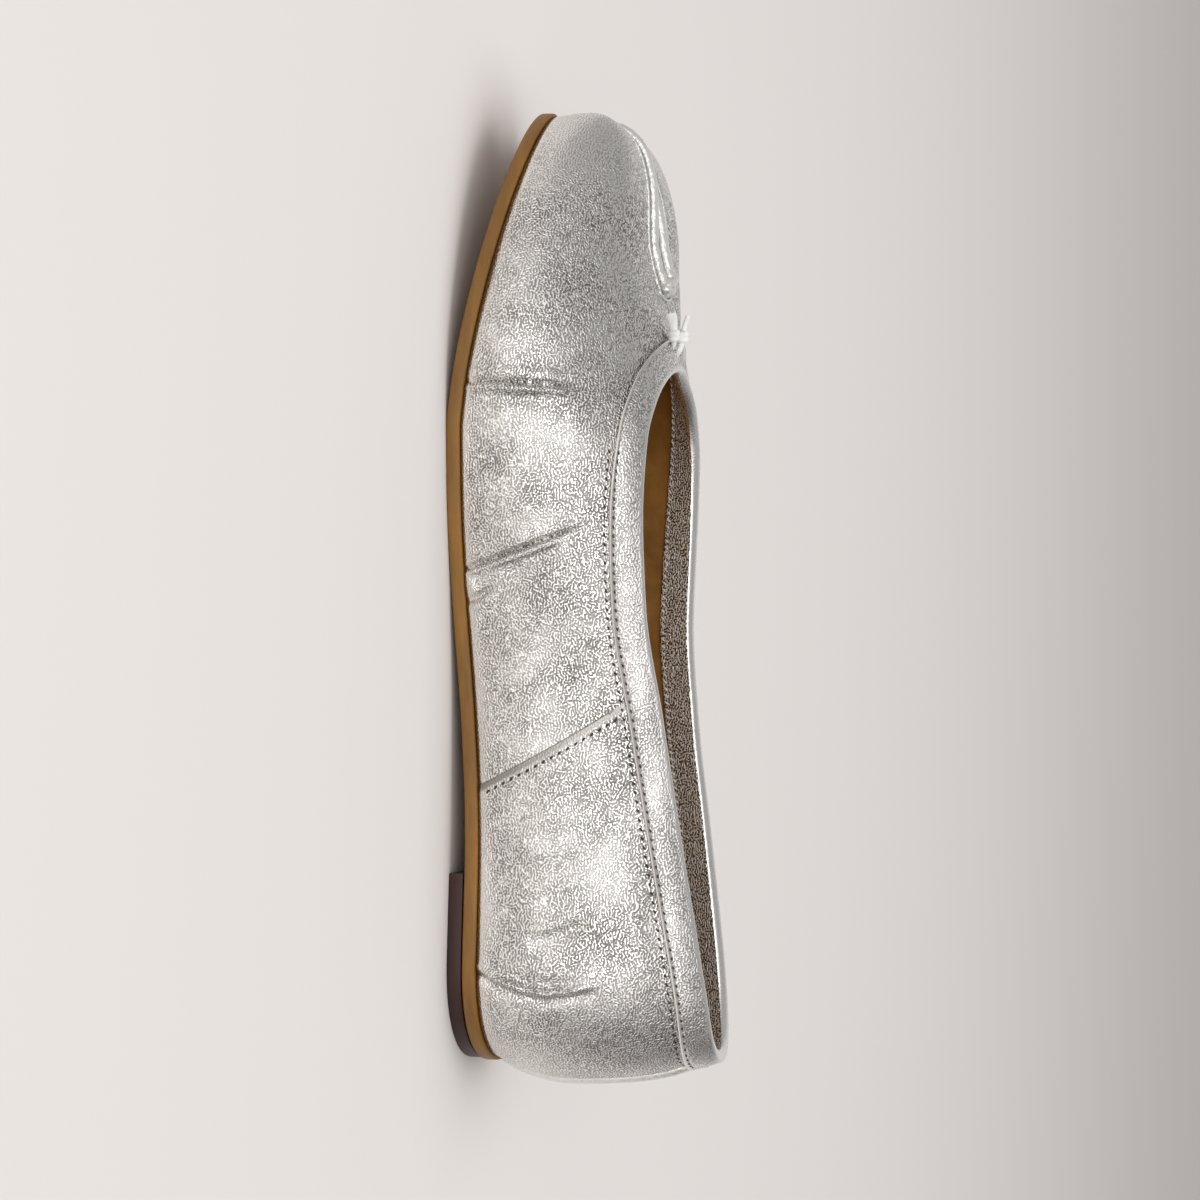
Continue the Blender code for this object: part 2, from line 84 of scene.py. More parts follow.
# Wall of the upper
WALL = 1.5
SECTION_POWER = 2.1
TUCK_HEIGHT = 12.0
HEEL_ROUND = 30.0
HEEL_POWER = 2.2
HEEL_LEAN_REACH = 60.0
THROAT = 180.0
SEAM_STATION = 73.5
SEAM_WIDTH = 0.4
QUARTER_STEP = 0.5
COVERED_TOP = 0.2
COVERED_FADE = 0.12

# Toe lobes and the split between them
LOBES_PART = 203.0
LOBE_SHARE = 0.5
NOSE_HEIGHT = 25.0
NOSE_POWER = 2.2
SPLIT_END = 199.5
SPLIT_FOOT = 205.5
SPLIT_BEGINS = 1.2
SPLIT_ROOT_WIDTH = 1.2
SPLIT_WIDTH = 2.6
SPLIT_WIDENS = 228.0
SPLIT_FLOOR_TURN = 0.88
LIP_POWER = 7.0
INSOLE_CLEFT = 200.5

# Binding and tie
BINDING_THICKNESS = 0.6
KNOT_STATION = 188.2
KNOT_OFFSET = 3.2
KNOT_HEIGHT = 3.2


class Table:
    """Rows of sizes, read as a smooth curve that never swings past its rows."""

    def __init__(self, columns, rows):
        self.values = dict(zip(columns, np.array(rows, float).T))
        self.knots = self.values[columns[0]]

    def at(self, name, x):
        """Values of a column at the places x of the first one."""
        heights = self.values[name]
        steps = np.diff(self.knots)
        slopes = np.diff(heights) / steps
        tangents = np.zeros_like(heights)
        turning = slopes[:-1] * slopes[1:] <= 0
        total = np.where(turning, 1.0, slopes[:-1] + slopes[1:])
        tangents[1:-1] = np.where(turning, 0.0, 2 * slopes[:-1] * slopes[1:] / total)
        tangents[0] = slopes[0]
        tangents[-1] = slopes[-1]
        x = np.clip(x, self.knots[0], self.knots[-1])
        row = np.clip(np.searchsorted(self.knots, x, side="right") - 1, 0, len(steps) - 1)
        t = (x - self.knots[row]) / steps[row]
        rise = heights[row] + steps[row] * tangents[row] * t * (1 - t) ** 2
        rise += (heights[row + 1] - heights[row]) * t * t * (3 - 2 * t)
        return rise - steps[row] * tangents[row + 1] * t * t * (1 - t)


# Half width of the last at its widest height
WIDTH = Table(
    ("x", "lateral", "medial"),
    (
        (0, 29.5, 28.5),
        (30, 30.2, 28.5),
        (60, 30.2, 28.5),
        (90, 31.5, 29.0),
        (120, 35.5, 31.0),
        (150, 41.2, 36.0),
        (175, 43.5, 39.0),
        (200, 42.5, 39.0),
        (LENGTH, 40.0, 38.0),
    ),
)

# How far the feather edge is tucked under the widest line, deep in the arch
TUCK = Table(
    ("x", "lateral", "medial"),
    (
        (0, 0.3, 0.3),
        (35, 1.3, 1.3),
        (60, 1.3, 1.6),
        (100, 1.6, 8.0),
        (150, 1.3, 1.6),
        (LENGTH, 1.2, 1.2),
    ),
)

# Crown of the last above the floor; behind the throat the wall stops short of it
CREST = Table(
    ("x", "lateral", "medial"),
    (
        (0, 72.0, 72.0),
        (120, 72.0, 72.0),
        (140, 68.0, 68.0),
        (160, 59.0, 59.0),
        (170, 53.6, 53.6),
        (THROAT, 48.9, 48.9),
        (194, 45.9, 47.0),
        (SPLIT_END, 43.9, 46.0),
        (206, 42.0, 45.0),
        (213, 40.7, 44.3),
        (LENGTH, 40.2, 43.0),
    ),
)

# Height of the topline above the floor
TOPLINE = Table(
    ("x", "lateral", "medial"),
    (
        (0, 64.0, 64.0),
        (18, 62.8, 61.5),
        (35, 60.6, 59.4),
        (63, 56.1, 55.4),
        (91, 51.7, 51.2),
        (119, 47.6, 48.8),
        (147, 46.8, 49.2),
        (161, 46.9, 49.7),
        (171, 47.7, 49.7),
        (176, 48.3, 49.3),
        (THROAT, 48.9, 48.9),
    ),
)

# How far the back of the heel leans forward of its roundest height
HEEL_BACK = Table(("z", "forward"), ((8, 4.5), (15, 1.6), (25, 0.0), (40, 0.9), (64, 6.0)))

# Crown lines of the two lobes and the middle line that the split follows, across the foot
LOBES = Table(
    ("x", "lateral", "medial", "middle"),
    (
        (0, 0, 0, 0),
        (120, 0, 0, 0),
        (THROAT, -2, -2, -2),
        (203, 0.5, -13, -2.3),
        (213, 2, -17, -2.9),
        (LENGTH, 4, -18, -6),
    ),
)

# Stations where the edges and the crown of a lobe begin to round off to its tip, how full the outer edge's
# rounding is, and the tip's place
TIP_COLUMNS = ("outer", "taper", "inner", "crest", "x", "y")
TIPS = {
    LATERAL: dict(zip(TIP_COLUMNS, (176.0, 1.85, 233.0, 220.0, LENGTH, 4.0))),
    MEDIAL: dict(zip(TIP_COLUMNS, (185.0, 2.0, 235.0, 212.0, MEDIAL_LENGTH, -18.0))),
}

# Slant of the wall's rows, so that one of them runs along the side seam
SEAM_LEAN = Table(
    ("x", "lateral", "medial"),
    ((0, 0, 0), (25, 0, 0), (SEAM_STATION, 27.0, 8.5), (150, 0, 0), (LENGTH, 0, 0)),
)

# Course of a welt over a lobe: station, and turn from the crown (0) down into the split (1)
WELT_COURSE = Table(
    ("s", "x", "lateral", "medial"),
    (
        (0.00, 199.6, 0.74, 0.80),
        (0.03, 200.6, 0.50, 0.57),
        (0.07, 202.4, 0.365, 0.435),
        (0.14, 206.0, 0.37, 0.44),
        (0.22, 212.0, 0.39, 0.465),
        (0.32, 219.0, 0.40, 0.48),
        (0.50, 230.0, 0.41, 0.51),
        (0.66, 237.0, 0.42, 0.52),
        (0.80, 240.5, 0.48, 0.58),
        (0.90, 241.5, 0.68, 0.72),
        (1.00, 241.7, 0.93, 0.93),
    ),
)

# Creases and folds of each side. A course runs over (station, height up the wall). Each wave along it has a
# height, its distance behind the course, its width, and the part of the course where it is strong.
CREASES = {
    LATERAL: (
        (
            ((173.6, 0.0), (173.6, 10.0), (173.2, 20.0), (172.4, 34.0)),
            (
                (-1.0, 0.0, 0.55, -0.3, 0.95),
                (0.85, 1.6, 1.0, -0.3, 0.9),
                (-0.5, 4.2, 1.5, 0.15, 0.7),
                (0.3, -2.2, 1.6, -0.3, 0.8),
            ),
        ),
        (
            ((127.6, 0.0), (129.8, 7.0), (132.8, 15.0), (136.2, 24.0), (139.0, 32.0)),
            (
                (-1.4, 0.0, 0.42, -0.3, 0.95),
                (0.6, 1.4, 0.8, -0.3, 0.85),
                (-0.5, 4.8, 1.5, 0.2, 0.55),
                (-0.3, 0.4, 2.0, 0.65, 1.1),
                (0.25, -2.2, 1.6, -0.3, 0.7),
            ),
        ),
        (
            ((119.5, 0.0), (121.0, 4.0), (125.0, 9.0), (129.0, 14.0)),
            ((-0.9, 0.0, 0.7, -0.3, 0.6), (1.3, -3.8, 2.6, -0.3, 0.35), (0.5, 2.0, 1.5, -0.3, 0.5)),
        ),
        (
            ((29.0, 0.0), (26.0, 6.0), (23.6, 13.0), (23.0, 18.0), (24.0, 25.0), (26.5, 34.0)),
            ((1.1, 0.0, 0.85, -0.3, 0.95), (-0.9, 1.9, 1.0, -0.3, 0.9), (-0.5, -2.2, 1.5, 0.1, 0.8)),
        ),
        (
            ((38.0, 12.0), (40.0, 20.0), (44.0, 27.0)),
            ((0.5, 0.0, 1.4, 0.0, 1.0), (-0.5, 2.8, 1.6, 0.0, 1.0)),
        ),
        (
            ((60.0, 8.0), (58.0, 16.0), (60.0, 26.0)),
            ((0.4, 0.0, 2.2, 0.0, 1.0), (-0.35, 4.4, 2.4, 0.0, 1.0)),
        ),
    ),
    MEDIAL: (
        (
            ((172.0, 0.0), (171.0, 10.0), (168.0, 20.0), (164.0, 30.0)),
            ((-0.9, 0.0, 0.75, -0.3, 0.8), (0.7, 1.9, 1.2, -0.3, 0.8)),
        ),
        (
            ((124.0, 2.0), (128.0, 10.0), (134.0, 18.0)),
            ((-0.8, 0.0, 0.8, -0.2, 0.9), (0.6, 2.2, 1.3, -0.2, 0.9)),
        ),
        (
            ((80.0, 12.0), (95.0, 9.0), (112.0, 10.0), (126.0, 13.0)),
            ((1.0, 0.0, 1.8, 0.0, 1.0), (-0.9, -3.2, 2.2, 0.0, 1.0)),
        ),
        (
            ((26.0, 0.0), (24.0, 9.0), (24.5, 20.0), (27.0, 30.0)),
            ((0.8, 0.0, 0.9, -0.3, 0.9), (-0.7, 2.2, 1.1, -0.3, 0.9)),
        ),
    ),
}

# Where the shoe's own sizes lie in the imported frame
HEEL_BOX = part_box("heel")
KNOT_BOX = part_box("tie_knot")
SHIFT = np.array(
    (
        HEEL_FRONT - HEEL_BOX[1][0] / MM,
        KNOT_OFFSET - (KNOT_BOX[0][1] + KNOT_BOX[1][1]) / 2 / MM,
        0.0,
    )
)


def linear(text):
    """Linear colour, with its alpha, of an sRGB hex value."""
    part = np.array([int(text[i : i + 2], 16) for i in (1, 3, 5)]) / 255
    part = np.where(part <= 0.04045, part / 12.92, ((part + 0.055) / 1.055) ** 2.4)
    return (*part, 1.0)


class FlatSizes(bpy.types.PropertyGroup):
    """Sizes of the finishing pieces, in metres."""

    binding_width: bpy.props.FloatProperty(
        name="Binding width",
        description="Width of the collar binding",
        default=8.0 * MM,
        min=4.0 * MM,
        subtype="DISTANCE",
    )
    binding_puff: bpy.props.FloatProperty(
        name="Binding puff",
        description="How far the drawstring swells the binding",
        default=0.35 * MM,
        subtype="DISTANCE",
    )
    stitch_pitch: bpy.props.FloatProperty(
        name="Stitch pitch",
        description="Length of one stitch along its row",
        default=2.3 * MM,
        min=0.8 * MM,
        subtype="DISTANCE",
    )
    crease_depth: bpy.props.FloatProperty(
        name="Crease depth",
        description="How deep the creases are, as a share of their own sizes",
        default=1.0,
        min=0.0,
        soft_max=2.0,
        subtype="FACTOR",
    )
    grain_size: bpy.props.FloatProperty(
        name="Grain size",
        description="Spacing of the raised strokes in the foil",
        default=0.7 * MM,
        min=0.3 * MM,
        subtype="DISTANCE",
    )
    welt_width: bpy.props.FloatProperty(
        name="Welt width",
        description="Width of the raised edge along the split",
        default=3.0 * MM,
        subtype="DISTANCE",
    )
    sole_edge_round: bpy.props.FloatProperty(
        name="Sole edge",
        description="Radius of the sole's edges",
        default=0.6 * MM,
        min=0.1 * MM,
        subtype="DISTANCE",
    )


# What all the colours share
COLOUR = {"subtype": "COLOR", "size": 4, "min": 0.0, "max": 1.0}


class FlatColours(bpy.types.PropertyGroup):
    """Colours of the finishes."""

    foil_ridge: bpy.props.FloatVectorProperty(
        name="Foil ridge", description="Foil on the raised strokes", default=linear("#F7F5F2"), **COLOUR
    )
    # Darker foil between the raised strokes: painted shade in the hollows of the grain
    foil_valley_shade: bpy.props.FloatVectorProperty(
        name="Foil valley shade", description="Foil between the strokes", default=linear("#83807C"), **COLOUR
    )
    foil_edge: bpy.props.FloatVectorProperty(
        name="Foil edge", description="Foil rubbed smooth on a fold", default=linear("#EDECE8"), **COLOUR
    )
    # Darker foil along the lap of the side seam: painted shade of the lap's edge, which faces away from the
    # light
    foil_rubbed: bpy.props.FloatVectorProperty(
        name="Lap foil in painted shade", description="Foil at the lap of a seam", default=linear("#A09D99"), **COLOUR
    )
    facing: bpy.props.FloatVectorProperty(
        name="Facing", description="Foil inside the collar", default=linear("#EDE7DC"), **COLOUR
    )
    facing_worn: bpy.props.FloatVectorProperty(
        name="Worn facing", description="Leather where it is worn off", default=linear("#5E5040"), **COLOUR
    )
    sole: bpy.props.FloatVectorProperty(
        name="Sole", description="Tan sole leather", default=linear("#8B6125"), **COLOUR
    )
    heel: bpy.props.FloatVectorProperty(
        name="Heel", description="Heel lift", default=linear("#35180F"), **COLOUR
    )
    lining: bpy.props.FloatVectorProperty(
        name="Lining", description="Leather lining", default=linear("#A87A3C"), **COLOUR
    )
    sock: bpy.props.FloatVectorProperty(
        name="Sock", description="Leather sock", default=linear("#A0702C"), **COLOUR
    )
    tie: bpy.props.FloatVectorProperty(
        name="Tie", description="Drawstring and facing thread", default=linear("#F4F2EC"), **COLOUR
    )
    # Dark colour of the sunk stitches: painted shade of the holes that the thread sinks into
    thread: bpy.props.FloatVectorProperty(
        name="Thread", description="Sunk stitches, dark with painted hole shade", default=linear("#3B3833"), **COLOUR
    )
    floor: bpy.props.FloatVectorProperty(
        name="Floor", description="Studio floor", default=linear("#E6E1DE"), **COLOUR
    )
    studio: bpy.props.FloatVectorProperty(
        name="Studio", description="Light of the studio round the shoe", default=linear("#FFFDFC"), **COLOUR
    )


def ease(t):
    """0 to 1 with a soft start and end."""
    t = np.clip(t, 0, 1)
    return t * t * (3 - 2 * t)


def even(count):
    """Even steps from 0 to 1."""
    return np.linspace(0, 1, count)


def closing(count):
    """Steps from 0 to 1 that grow shorter towards 1."""
    return np.sin(even(count) * np.pi / 2)


def rounding(x, start, end, power=2.0):
    """1 up to the start, then down a round shoulder to 0 at the end."""
    return (1 - np.clip((x - start) / (end - start), 0, 1) ** power) ** (1 / power)


def quarter_arc(turn, power):
    """Across and up values on a quarter of a superellipse, from (1, 0) at turn 0 to (0, 1) at turn 1."""
    across = np.cos(turn * np.pi / 2)
    up = np.sin(turn * np.pi / 2)
    scale = (np.abs(across) ** power + np.abs(up) ** power) ** (-1 / power)
    return across * scale, up * scale


def underside(x):
    """Height of the bottom of the sole above the floor."""
    seat = HEEL_SEAT * ease((BALL_BACK - x) / (BALL_BACK - HEEL_FRONT))
    spring = np.clip((x - BALL_FRONT) / (LENGTH - BALL_FRONT), 0, None)
    return seat + TOE_SPRING * spring**TOE_SPRING_POWER


def feather(x):
    """Height of the edge where the upper meets the sole."""
    return underside(x) + SOLE_THICKNESS + SEAT_GAP


def outer_edge(side, x):
    """Place across the foot of the widest line of one side."""
    tip = TIPS[side]
    width = side * WIDTH.at(SIDE_NAMES[side], x) * rounding(HEEL_ROUND - x, 0, HEEL_ROUND, HEEL_POWER)
    return tip["y"] + (width - tip["y"]) * rounding(x, tip["outer"], tip["x"], tip["taper"])


def split_depth(x):
    """0 behind the split, 1 where it reaches down to the feather edge."""
    return ease((x - SPLIT_END) / (SPLIT_FOOT - SPLIT_END))


def split_edge(side, x):
    """Place across the foot of a lobe's wall along the split."""
    tip = TIPS[side]
    root = SPLIT_ROOT_WIDTH * split_depth(x)
    opened = (SPLIT_WIDTH - SPLIT_ROOT_WIDTH) * ease((x - SPLIT_FOOT) / (SPLIT_WIDENS - SPLIT_FOOT))
    wall = LOBES.at("middle", x) + side * (root + opened) / 2
    return tip["y"] + (wall - tip["y"]) * rounding(x, tip["inner"], tip["x"])


def crest_height(side, x):
    """Height of the crown line, which drops over the nose at the tip."""
    drop = rounding(x, TIPS[side]["crest"], TIPS[side]["x"], NOSE_POWER)
    return NOSE_HEIGHT + (CREST.at(SIDE_NAMES[side], x) - NOSE_HEIGHT) * drop


def crown_share(x):
    """Share of a row's columns that lies outside the crown line: all of them behind the split."""
    return 1 - LOBE_SHARE * ease((x - THROAT) / (LOBES_PART - THROAT))


def split_floor(x):
    """Height of the bottom of the split: straight across from crown to crown behind it, then down."""
    lateral, medial, middle = (LOBES.at(name, x) for name in ("lateral", "medial", "middle"))
    share = (lateral - middle) / np.maximum(lateral - medial, TINY)
    crown = crest_height(LATERAL, x) * (1 - share) + crest_height(MEDIAL, x) * share
    return crown + (feather(x) - crown) * split_depth(x)


def plan_normals(x, y, facing):
    """Unit normals, seen from above, of the edges that run down the rows of x and y."""
    along = np.gradient(x, axis=0)
    across = np.gradient(y, axis=0)
    length = np.hypot(along, across) + TINY
    return -facing * across / length, facing * along / length


def end_normals(x, tip_x, normal_x, normal_y):
    """Normals at the back of the heel and at the tip point straight back and straight ahead."""
    back = x <= 0
    tip = x >= tip_x
    normal_x = np.where(back, -1.0, np.where(tip, 1.0, normal_x))
    normal_y = np.where(back | tip, 0.0, normal_y)
    return normal_x, normal_y


def upper_points(side, stations, columns):
    """Outer face of one half of the upper: a row for each station from heel to toe, and in it a point for
    each column from the feather edge (0) to the topline, the crown line or the foot of the split (1)."""
    name = SIDE_NAMES[side]
    tip = TIPS[side]
    base = np.asarray(stations, float)[:, None]
    w = np.asarray(columns, float)[None, :]
    x = base + SEAM_LEAN.at(name, base) * w
    bottom = feather(x)
    top = crest_height(side, x)
    crown = LOBES.at(name, x)
    crown = tip["y"] + (crown - tip["y"]) * rounding(x, tip["inner"], tip["x"])
    outer = outer_edge(side, x)
    inner = split_edge(side, x)

    # Up the outside of the foot
    rise = np.where(x < THROAT, (TOPLINE.at(name, x) - bottom) / (top - bottom), 1.0)
    rise = np.clip(rise, 0, 1)
    end_turn = np.arctan2(rise, (1 - rise**SECTION_POWER) ** (1 / SECTION_POWER)) / (np.pi / 2)
    share = crown_share(x)
    across, up = quarter_arc(end_turn * np.clip(w / share, 0, 1), SECTION_POWER)
    outside_y = crown + (outer - crown) * across
    outside_z = bottom + (top - bottom) * up

    # From the crown line down into the split
    near_tip = ease((x - tip["inner"]) / (tip["x"] - tip["inner"]))
    power = LIP_POWER + (SECTION_POWER - LIP_POWER) * near_tip
    floor = split_floor(x)
    turn = np.clip((w - share) / np.maximum(1 - share, TINY), 0, 1)
    down, over = quarter_arc(turn, power)
    begun = ease((x - SPLIT_END) / SPLIT_BEGINS)
    down = 1 - turn + (down - 1 + turn) * begun
    over = turn + (over - turn) * begun
    inside_y = crown + (inner - crown) * over
    inside_z = floor + (top - floor) * down
    closed = ease((turn - SPLIT_FLOOR_TURN) / (1 - SPLIT_FLOOR_TURN)) * (x <= SPLIT_FOOT)
    inside_y = inside_y + (LOBES.at("middle", x) - inside_y) * closed

    outside = w <= share + TINY
    y = np.where(outside, outside_y, inside_y)
    z = np.where(outside, outside_z, inside_z)

    # Tuck the feather edge under, and raise the quarter over the vamp at the side seam
    out_x, out_y = plan_normals(x, outer, side)
    in_x, in_y = plan_normals(x, inner, -side)
    normal_x, normal_y = np.where(outside, out_x, in_x), np.where(outside, out_y, in_y)
    normal_x, normal_y = end_normals(x, tip["x"], normal_x, normal_y)
    tuck = TUCK.at(name, x) * np.where(outside, 1.0, near_tip)
    push = -tuck * np.clip(1 - (z - bottom) / TUCK_HEIGHT, 0, 1) ** 2
    seen = ease((1 - w - COVERED_TOP) / COVERED_FADE)
    push = push + QUARTER_STEP * (base <= SEAM_STATION) * seen

    lean = HEEL_BACK.at("forward", z) * np.clip(1 - x / HEEL_LEAN_REACH, 0, 1) ** 2
    return np.stack([x + lean + push * normal_x, y + push * normal_y, z], axis=-1)


def wall_line(side, station, columns):
    """One row of the skin."""
    return upper_points(side, [station, station + SEAM_WIDTH / 2], columns)[0]


# Stretches of the foot from heel to toe: where each ends and how many rows it has, close where the leather
# creases, at the throat and at the split
HEEL_BACK_END = 16.0
STRETCHES = (
    (34.0, 36, even),
    (SEAM_STATION, 40, even),
    (114.0, 46, even),
    (144.0, 75, even),
    (166.0, 24, even),
    (THROAT, 39, closing),
    (SPLIT_END, 19, even),
    (SPLIT_FOOT, 11, even),
)
HEEL_ROWS = 30
HEEL_ROW_POWER = 1.3
TOE_ROWS = 47
WALL_COLUMNS = 60


def fine_stations(tip_x):
    """Stations of the fine skin's rows."""
    rows = [HEEL_BACK_END * (1 - np.cos(even(HEEL_ROWS) * np.pi / 2)) ** HEEL_ROW_POWER]
    start = HEEL_BACK_END
    for end, count, steps in (*STRETCHES, (tip_x, TOE_ROWS, closing)):
        rows.append(start + (end - start) * steps(count + 1)[1:])
        if end == SEAM_STATION:
            rows.append([SEAM_STATION + SEAM_WIDTH])
        start = end
    return np.concatenate(rows)


def placed(points):
    """Points of the shoe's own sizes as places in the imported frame, in metres."""
    return (np.asarray(points, float) - SHIFT) * MM


def add_grid(bm, points, **values):
    """Adds a grid of quads that follows a block of points, with a named value at each of them."""
    rows, columns = points.shape[:2]
    places = placed(points)
    layers = {name: bm.verts.layers.float.get(name) or bm.verts.layers.float.new(name) for name in values}
    grid = bmesh.ops.create_grid(bm, x_segments=rows - 1, y_segments=columns - 1, size=0.5)
    for vertex in grid["verts"]:
        row = round((vertex.co.x + 0.5) * (rows - 1))
        column = round((vertex.co.y + 0.5) * (columns - 1))
        vertex.co = Vector(places[row, column])
        for name, layer in layers.items():
            vertex[layer] = values[name][row, column]


# Points nearer than this are one
WELD = 0.004


def close_seams(bm):
    """Welds the blocks of a surface where they meet and turns all its faces one way."""
    bmesh.ops.remove_doubles(bm, verts=bm.verts, dist=WELD * MM)
    bmesh.ops.dissolve_degenerate(bm, edges=bm.edges, dist=WELD * MM)
    bmesh.ops.recalc_face_normals(bm, faces=bm.faces)


def face_towards(bm, direction):
    """Turns the whole surface round if its farthest face that way looks back."""
    bm.normal_update()
    farthest = max(bm.faces, key=lambda face: face.calc_center_median().dot(direction))
    if farthest.normal.dot(direction) < 0:
        bmesh.ops.reverse_faces(bm, faces=bm.faces)


# Edges that turn by more degrees than this are drawn sharp
SHARP_ANGLE = 50.0


def finish_piece(name, bm, materials, nodes=()):
    """Makes a piece from the mesh, rides it on the shoe and has it stand for its solids."""
    mesh = bpy.data.meshes.new(name)
    bm.to_mesh(mesh)
    bm.free()
    mesh.shade_smooth()
    mesh.set_sharp_from_angle(angle=np.radians(SHARP_ANGLE))
    obj = bpy.data.objects.new(name, mesh)
    bpy.context.scene.collection.objects.link(obj)
    for material in materials:
        mesh.materials.append(material)
    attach(obj, BODY)
    if nodes:
        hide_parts(*nodes)
    return obj


def thicken(obj, thickness, inner_material=0):
    """Gives a skin its thickness, inwards."""
    wall = obj.modifiers.new("thickness", "SOLIDIFY")
    wall.thickness = thickness * MM
    wall.offset = -1
    wall.use_quality_normals = True
    wall.material_offset = inner_material
    wall.material_offset_rim = inner_material


@functools.cache
def smooth_skin():
    """The skin without its creases, to lay other pieces on."""
    bm = bmesh.new()
    for side in TIPS:
        add_grid(bm, upper_points(side, fine_stations(TIPS[side]["x"]), even(WALL_COLUMNS)))
    close_seams(bm)
    face_towards(bm, Vector((0, 1, 0)))
    tree = BVHTree.FromBMesh(bm)
    bm.free()
    return tree


@functools.cache
def topline_loop():
    """Places round the topline: up the lateral side from the back seam to the throat, and back."""
    sides = []
    for side in TIPS:
        stations = fine_stations(TIPS[side]["x"])
        stations = stations[stations <= THROAT]
        sides.append(placed(upper_points(side, stations, [1.0])[:, 0]))
    lateral, medial = sides
    return np.concatenate([lateral, medial[-2:0:-1]])


@functools.cache
def topline_strip(width, steps):
    """For each place of the topline, places on the skin at even steps down from it, with the skin's normal
    and the way down."""
    loop = topline_loop()
    tree = smooth_skin()
    rows = []
    for index, point in enumerate(loop):
        tangent = Vector(loop[(index + 1) % len(loop)] - loop[index - 1]).normalized()
        here = Vector(point)
        row = []
        for _ in range(steps + 1):
            place, normal, _, _ = tree.find_nearest(here)
            down = normal.cross(tangent).normalized()
            row.append((place, normal, down))
            here = place + down * (width / steps * MM)
        rows.append(row)
    return rows


def topline_distance(points):
    """Distance of each point from the topline."""
    loop = topline_loop()
    tree = kdtree.KDTree(len(loop))
    for index, place in enumerate(loop):
        tree.insert(place, index)
    tree.balance()
    flat = placed(points).reshape(-1, 3)
    found = np.array([tree.find(place)[2] for place in flat]) / MM
    return found.reshape(points.shape[:2])


def course_offsets(course, x, h):
    """How far along a course each point lies (0 to 1), and how far behind it."""
    course = np.array(course)
    lengths = np.hypot(*np.diff(course, axis=0).T)
    nearest = np.full(x.shape, np.inf)
    behind = np.zeros(x.shape)
    along = np.zeros(x.shape)
    done = 0.0
    for start, end, length in zip(course[:-1], course[1:], lengths):
        way = (end - start) / length
        t = np.clip((x - start[0]) * way[0] + (h - start[1]) * way[1], 0, length)
        left_x = x - start[0] - way[0] * t
        left_h = h - start[1] - way[1] * t
        distance = np.hypot(left_x, left_h)
        nearer = distance < nearest
        sign = np.where(way[0] * left_h - way[1] * left_x < 0, -1.0, 1.0)
        nearest = np.where(nearer, distance, nearest)
        behind = np.where(nearer, sign * distance, behind)
        along = np.where(nearer, (done + t) / lengths.sum(), along)
        done += length
    return along, behind


# Swells of the leather: spacing and height
SWELLS = ((38.0, 0.5), (17.0, 0.28))

# Where creases and swells die out: at the ends of a course, at the sole, under the binding, at the back
# seam, towards the toe and at the middle line
FADE = 0.22
FOLD_FOOT = 3.0
FOLD_FOOT_SHARE = 0.4
SWELL_FOOT = 4.0
BOUND = 7.0
BOUND_FADE = 6.0
BACK_CALM = 2.0
BACK_FADE = 6.0
TOE_CALM = 228.0
TOE_FADE = 20.0
MIDDLE_CALM = 0.12

# Groove that the lower row of stitches pulls in
SEAM_GROOVE = 0.18
GROOVE_WIDTH = 0.55
ROW_BELOW = 1.05


def relief(side, points, height, from_top):
    """How far creases, folds and the pull of the seams move each point of the skin outwards."""
    sizes = bpy.context.scene.flat_sizes
    x = points[..., 0]
    folds = np.zeros(x.shape)
    for course, waves in CREASES[side]:
        along, behind = course_offsets(course, x, height)
        for amount, offset, width, start, end in waves:
            strong = ease((along - start) / FADE) * ease((end - along) / FADE)
            folds += amount * strong * np.exp(-(((behind - offset) / width) ** 2))
    folds *= sizes.crease_depth * (FOLD_FOOT_SHARE + (1 - FOLD_FOOT_SHARE) * ease(height / FOLD_FOOT))
    swells = np.zeros(x.shape)
    flat = points.reshape(-1, 3)
    for spacing, amount in SWELLS:
        swell = [noise.noise(Vector(point) / spacing) for point in flat]
        swells += amount * np.array(swell).reshape(x.shape)
    swells *= ease(height / SWELL_FOOT)
    middle = ease((1 - even(x.shape[1])[None, :]) / MIDDLE_CALM)
    quarter = ease((from_top - BOUND) / BOUND_FADE) * ease((x - BACK_CALM) / BACK_FADE)
    calm = np.where(x < THROAT, quarter, middle)
    moved = (folds + swells) * calm * ease((TOE_CALM - x) / TOE_FADE)
    row = from_top - sizes.binding_width / MM - ROW_BELOW
    moved -= SEAM_GROOVE * np.exp(-((row / GROOVE_WIDTH) ** 2)) * calm * (x < THROAT)
    return moved


def outward(points, side):
    """Unit normals of a block of points on the skin."""
    along = np.gradient(points, axis=0)
    around = np.gradient(points, axis=1)
    normal = np.cross(around, along) * side
    return normal / (np.linalg.norm(normal, axis=-1, keepdims=True) + TINY)


# Where the foil's grain is rubbed flat: along the sole, on the toe, low on the heel's back and on the lap
SOLE_GRAIN = 0.25
SOLE_GRAIN_FOOT = 0.6
SOLE_GRAIN_RISE = 2.2
WAIST_FRONT = 150.0
WAIST_FADE = 40.0
TOE_RUB = 0.45
TOE_RUB_START = 216.0
TOE_RUB_FADE = 22.0
HEEL_RUB = 0.5
HEEL_RUB_END = 16.0
HEEL_RUB_FADE = 14.0
HEEL_RUB_TOP = 26.0
HEEL_RUB_DOWN = 16.0
LAP_RUB = 0.8
LAP_STRIP = 1.1

# How far round the side seam its stitches hold the leather flat
SEAM_HELD = 5.0


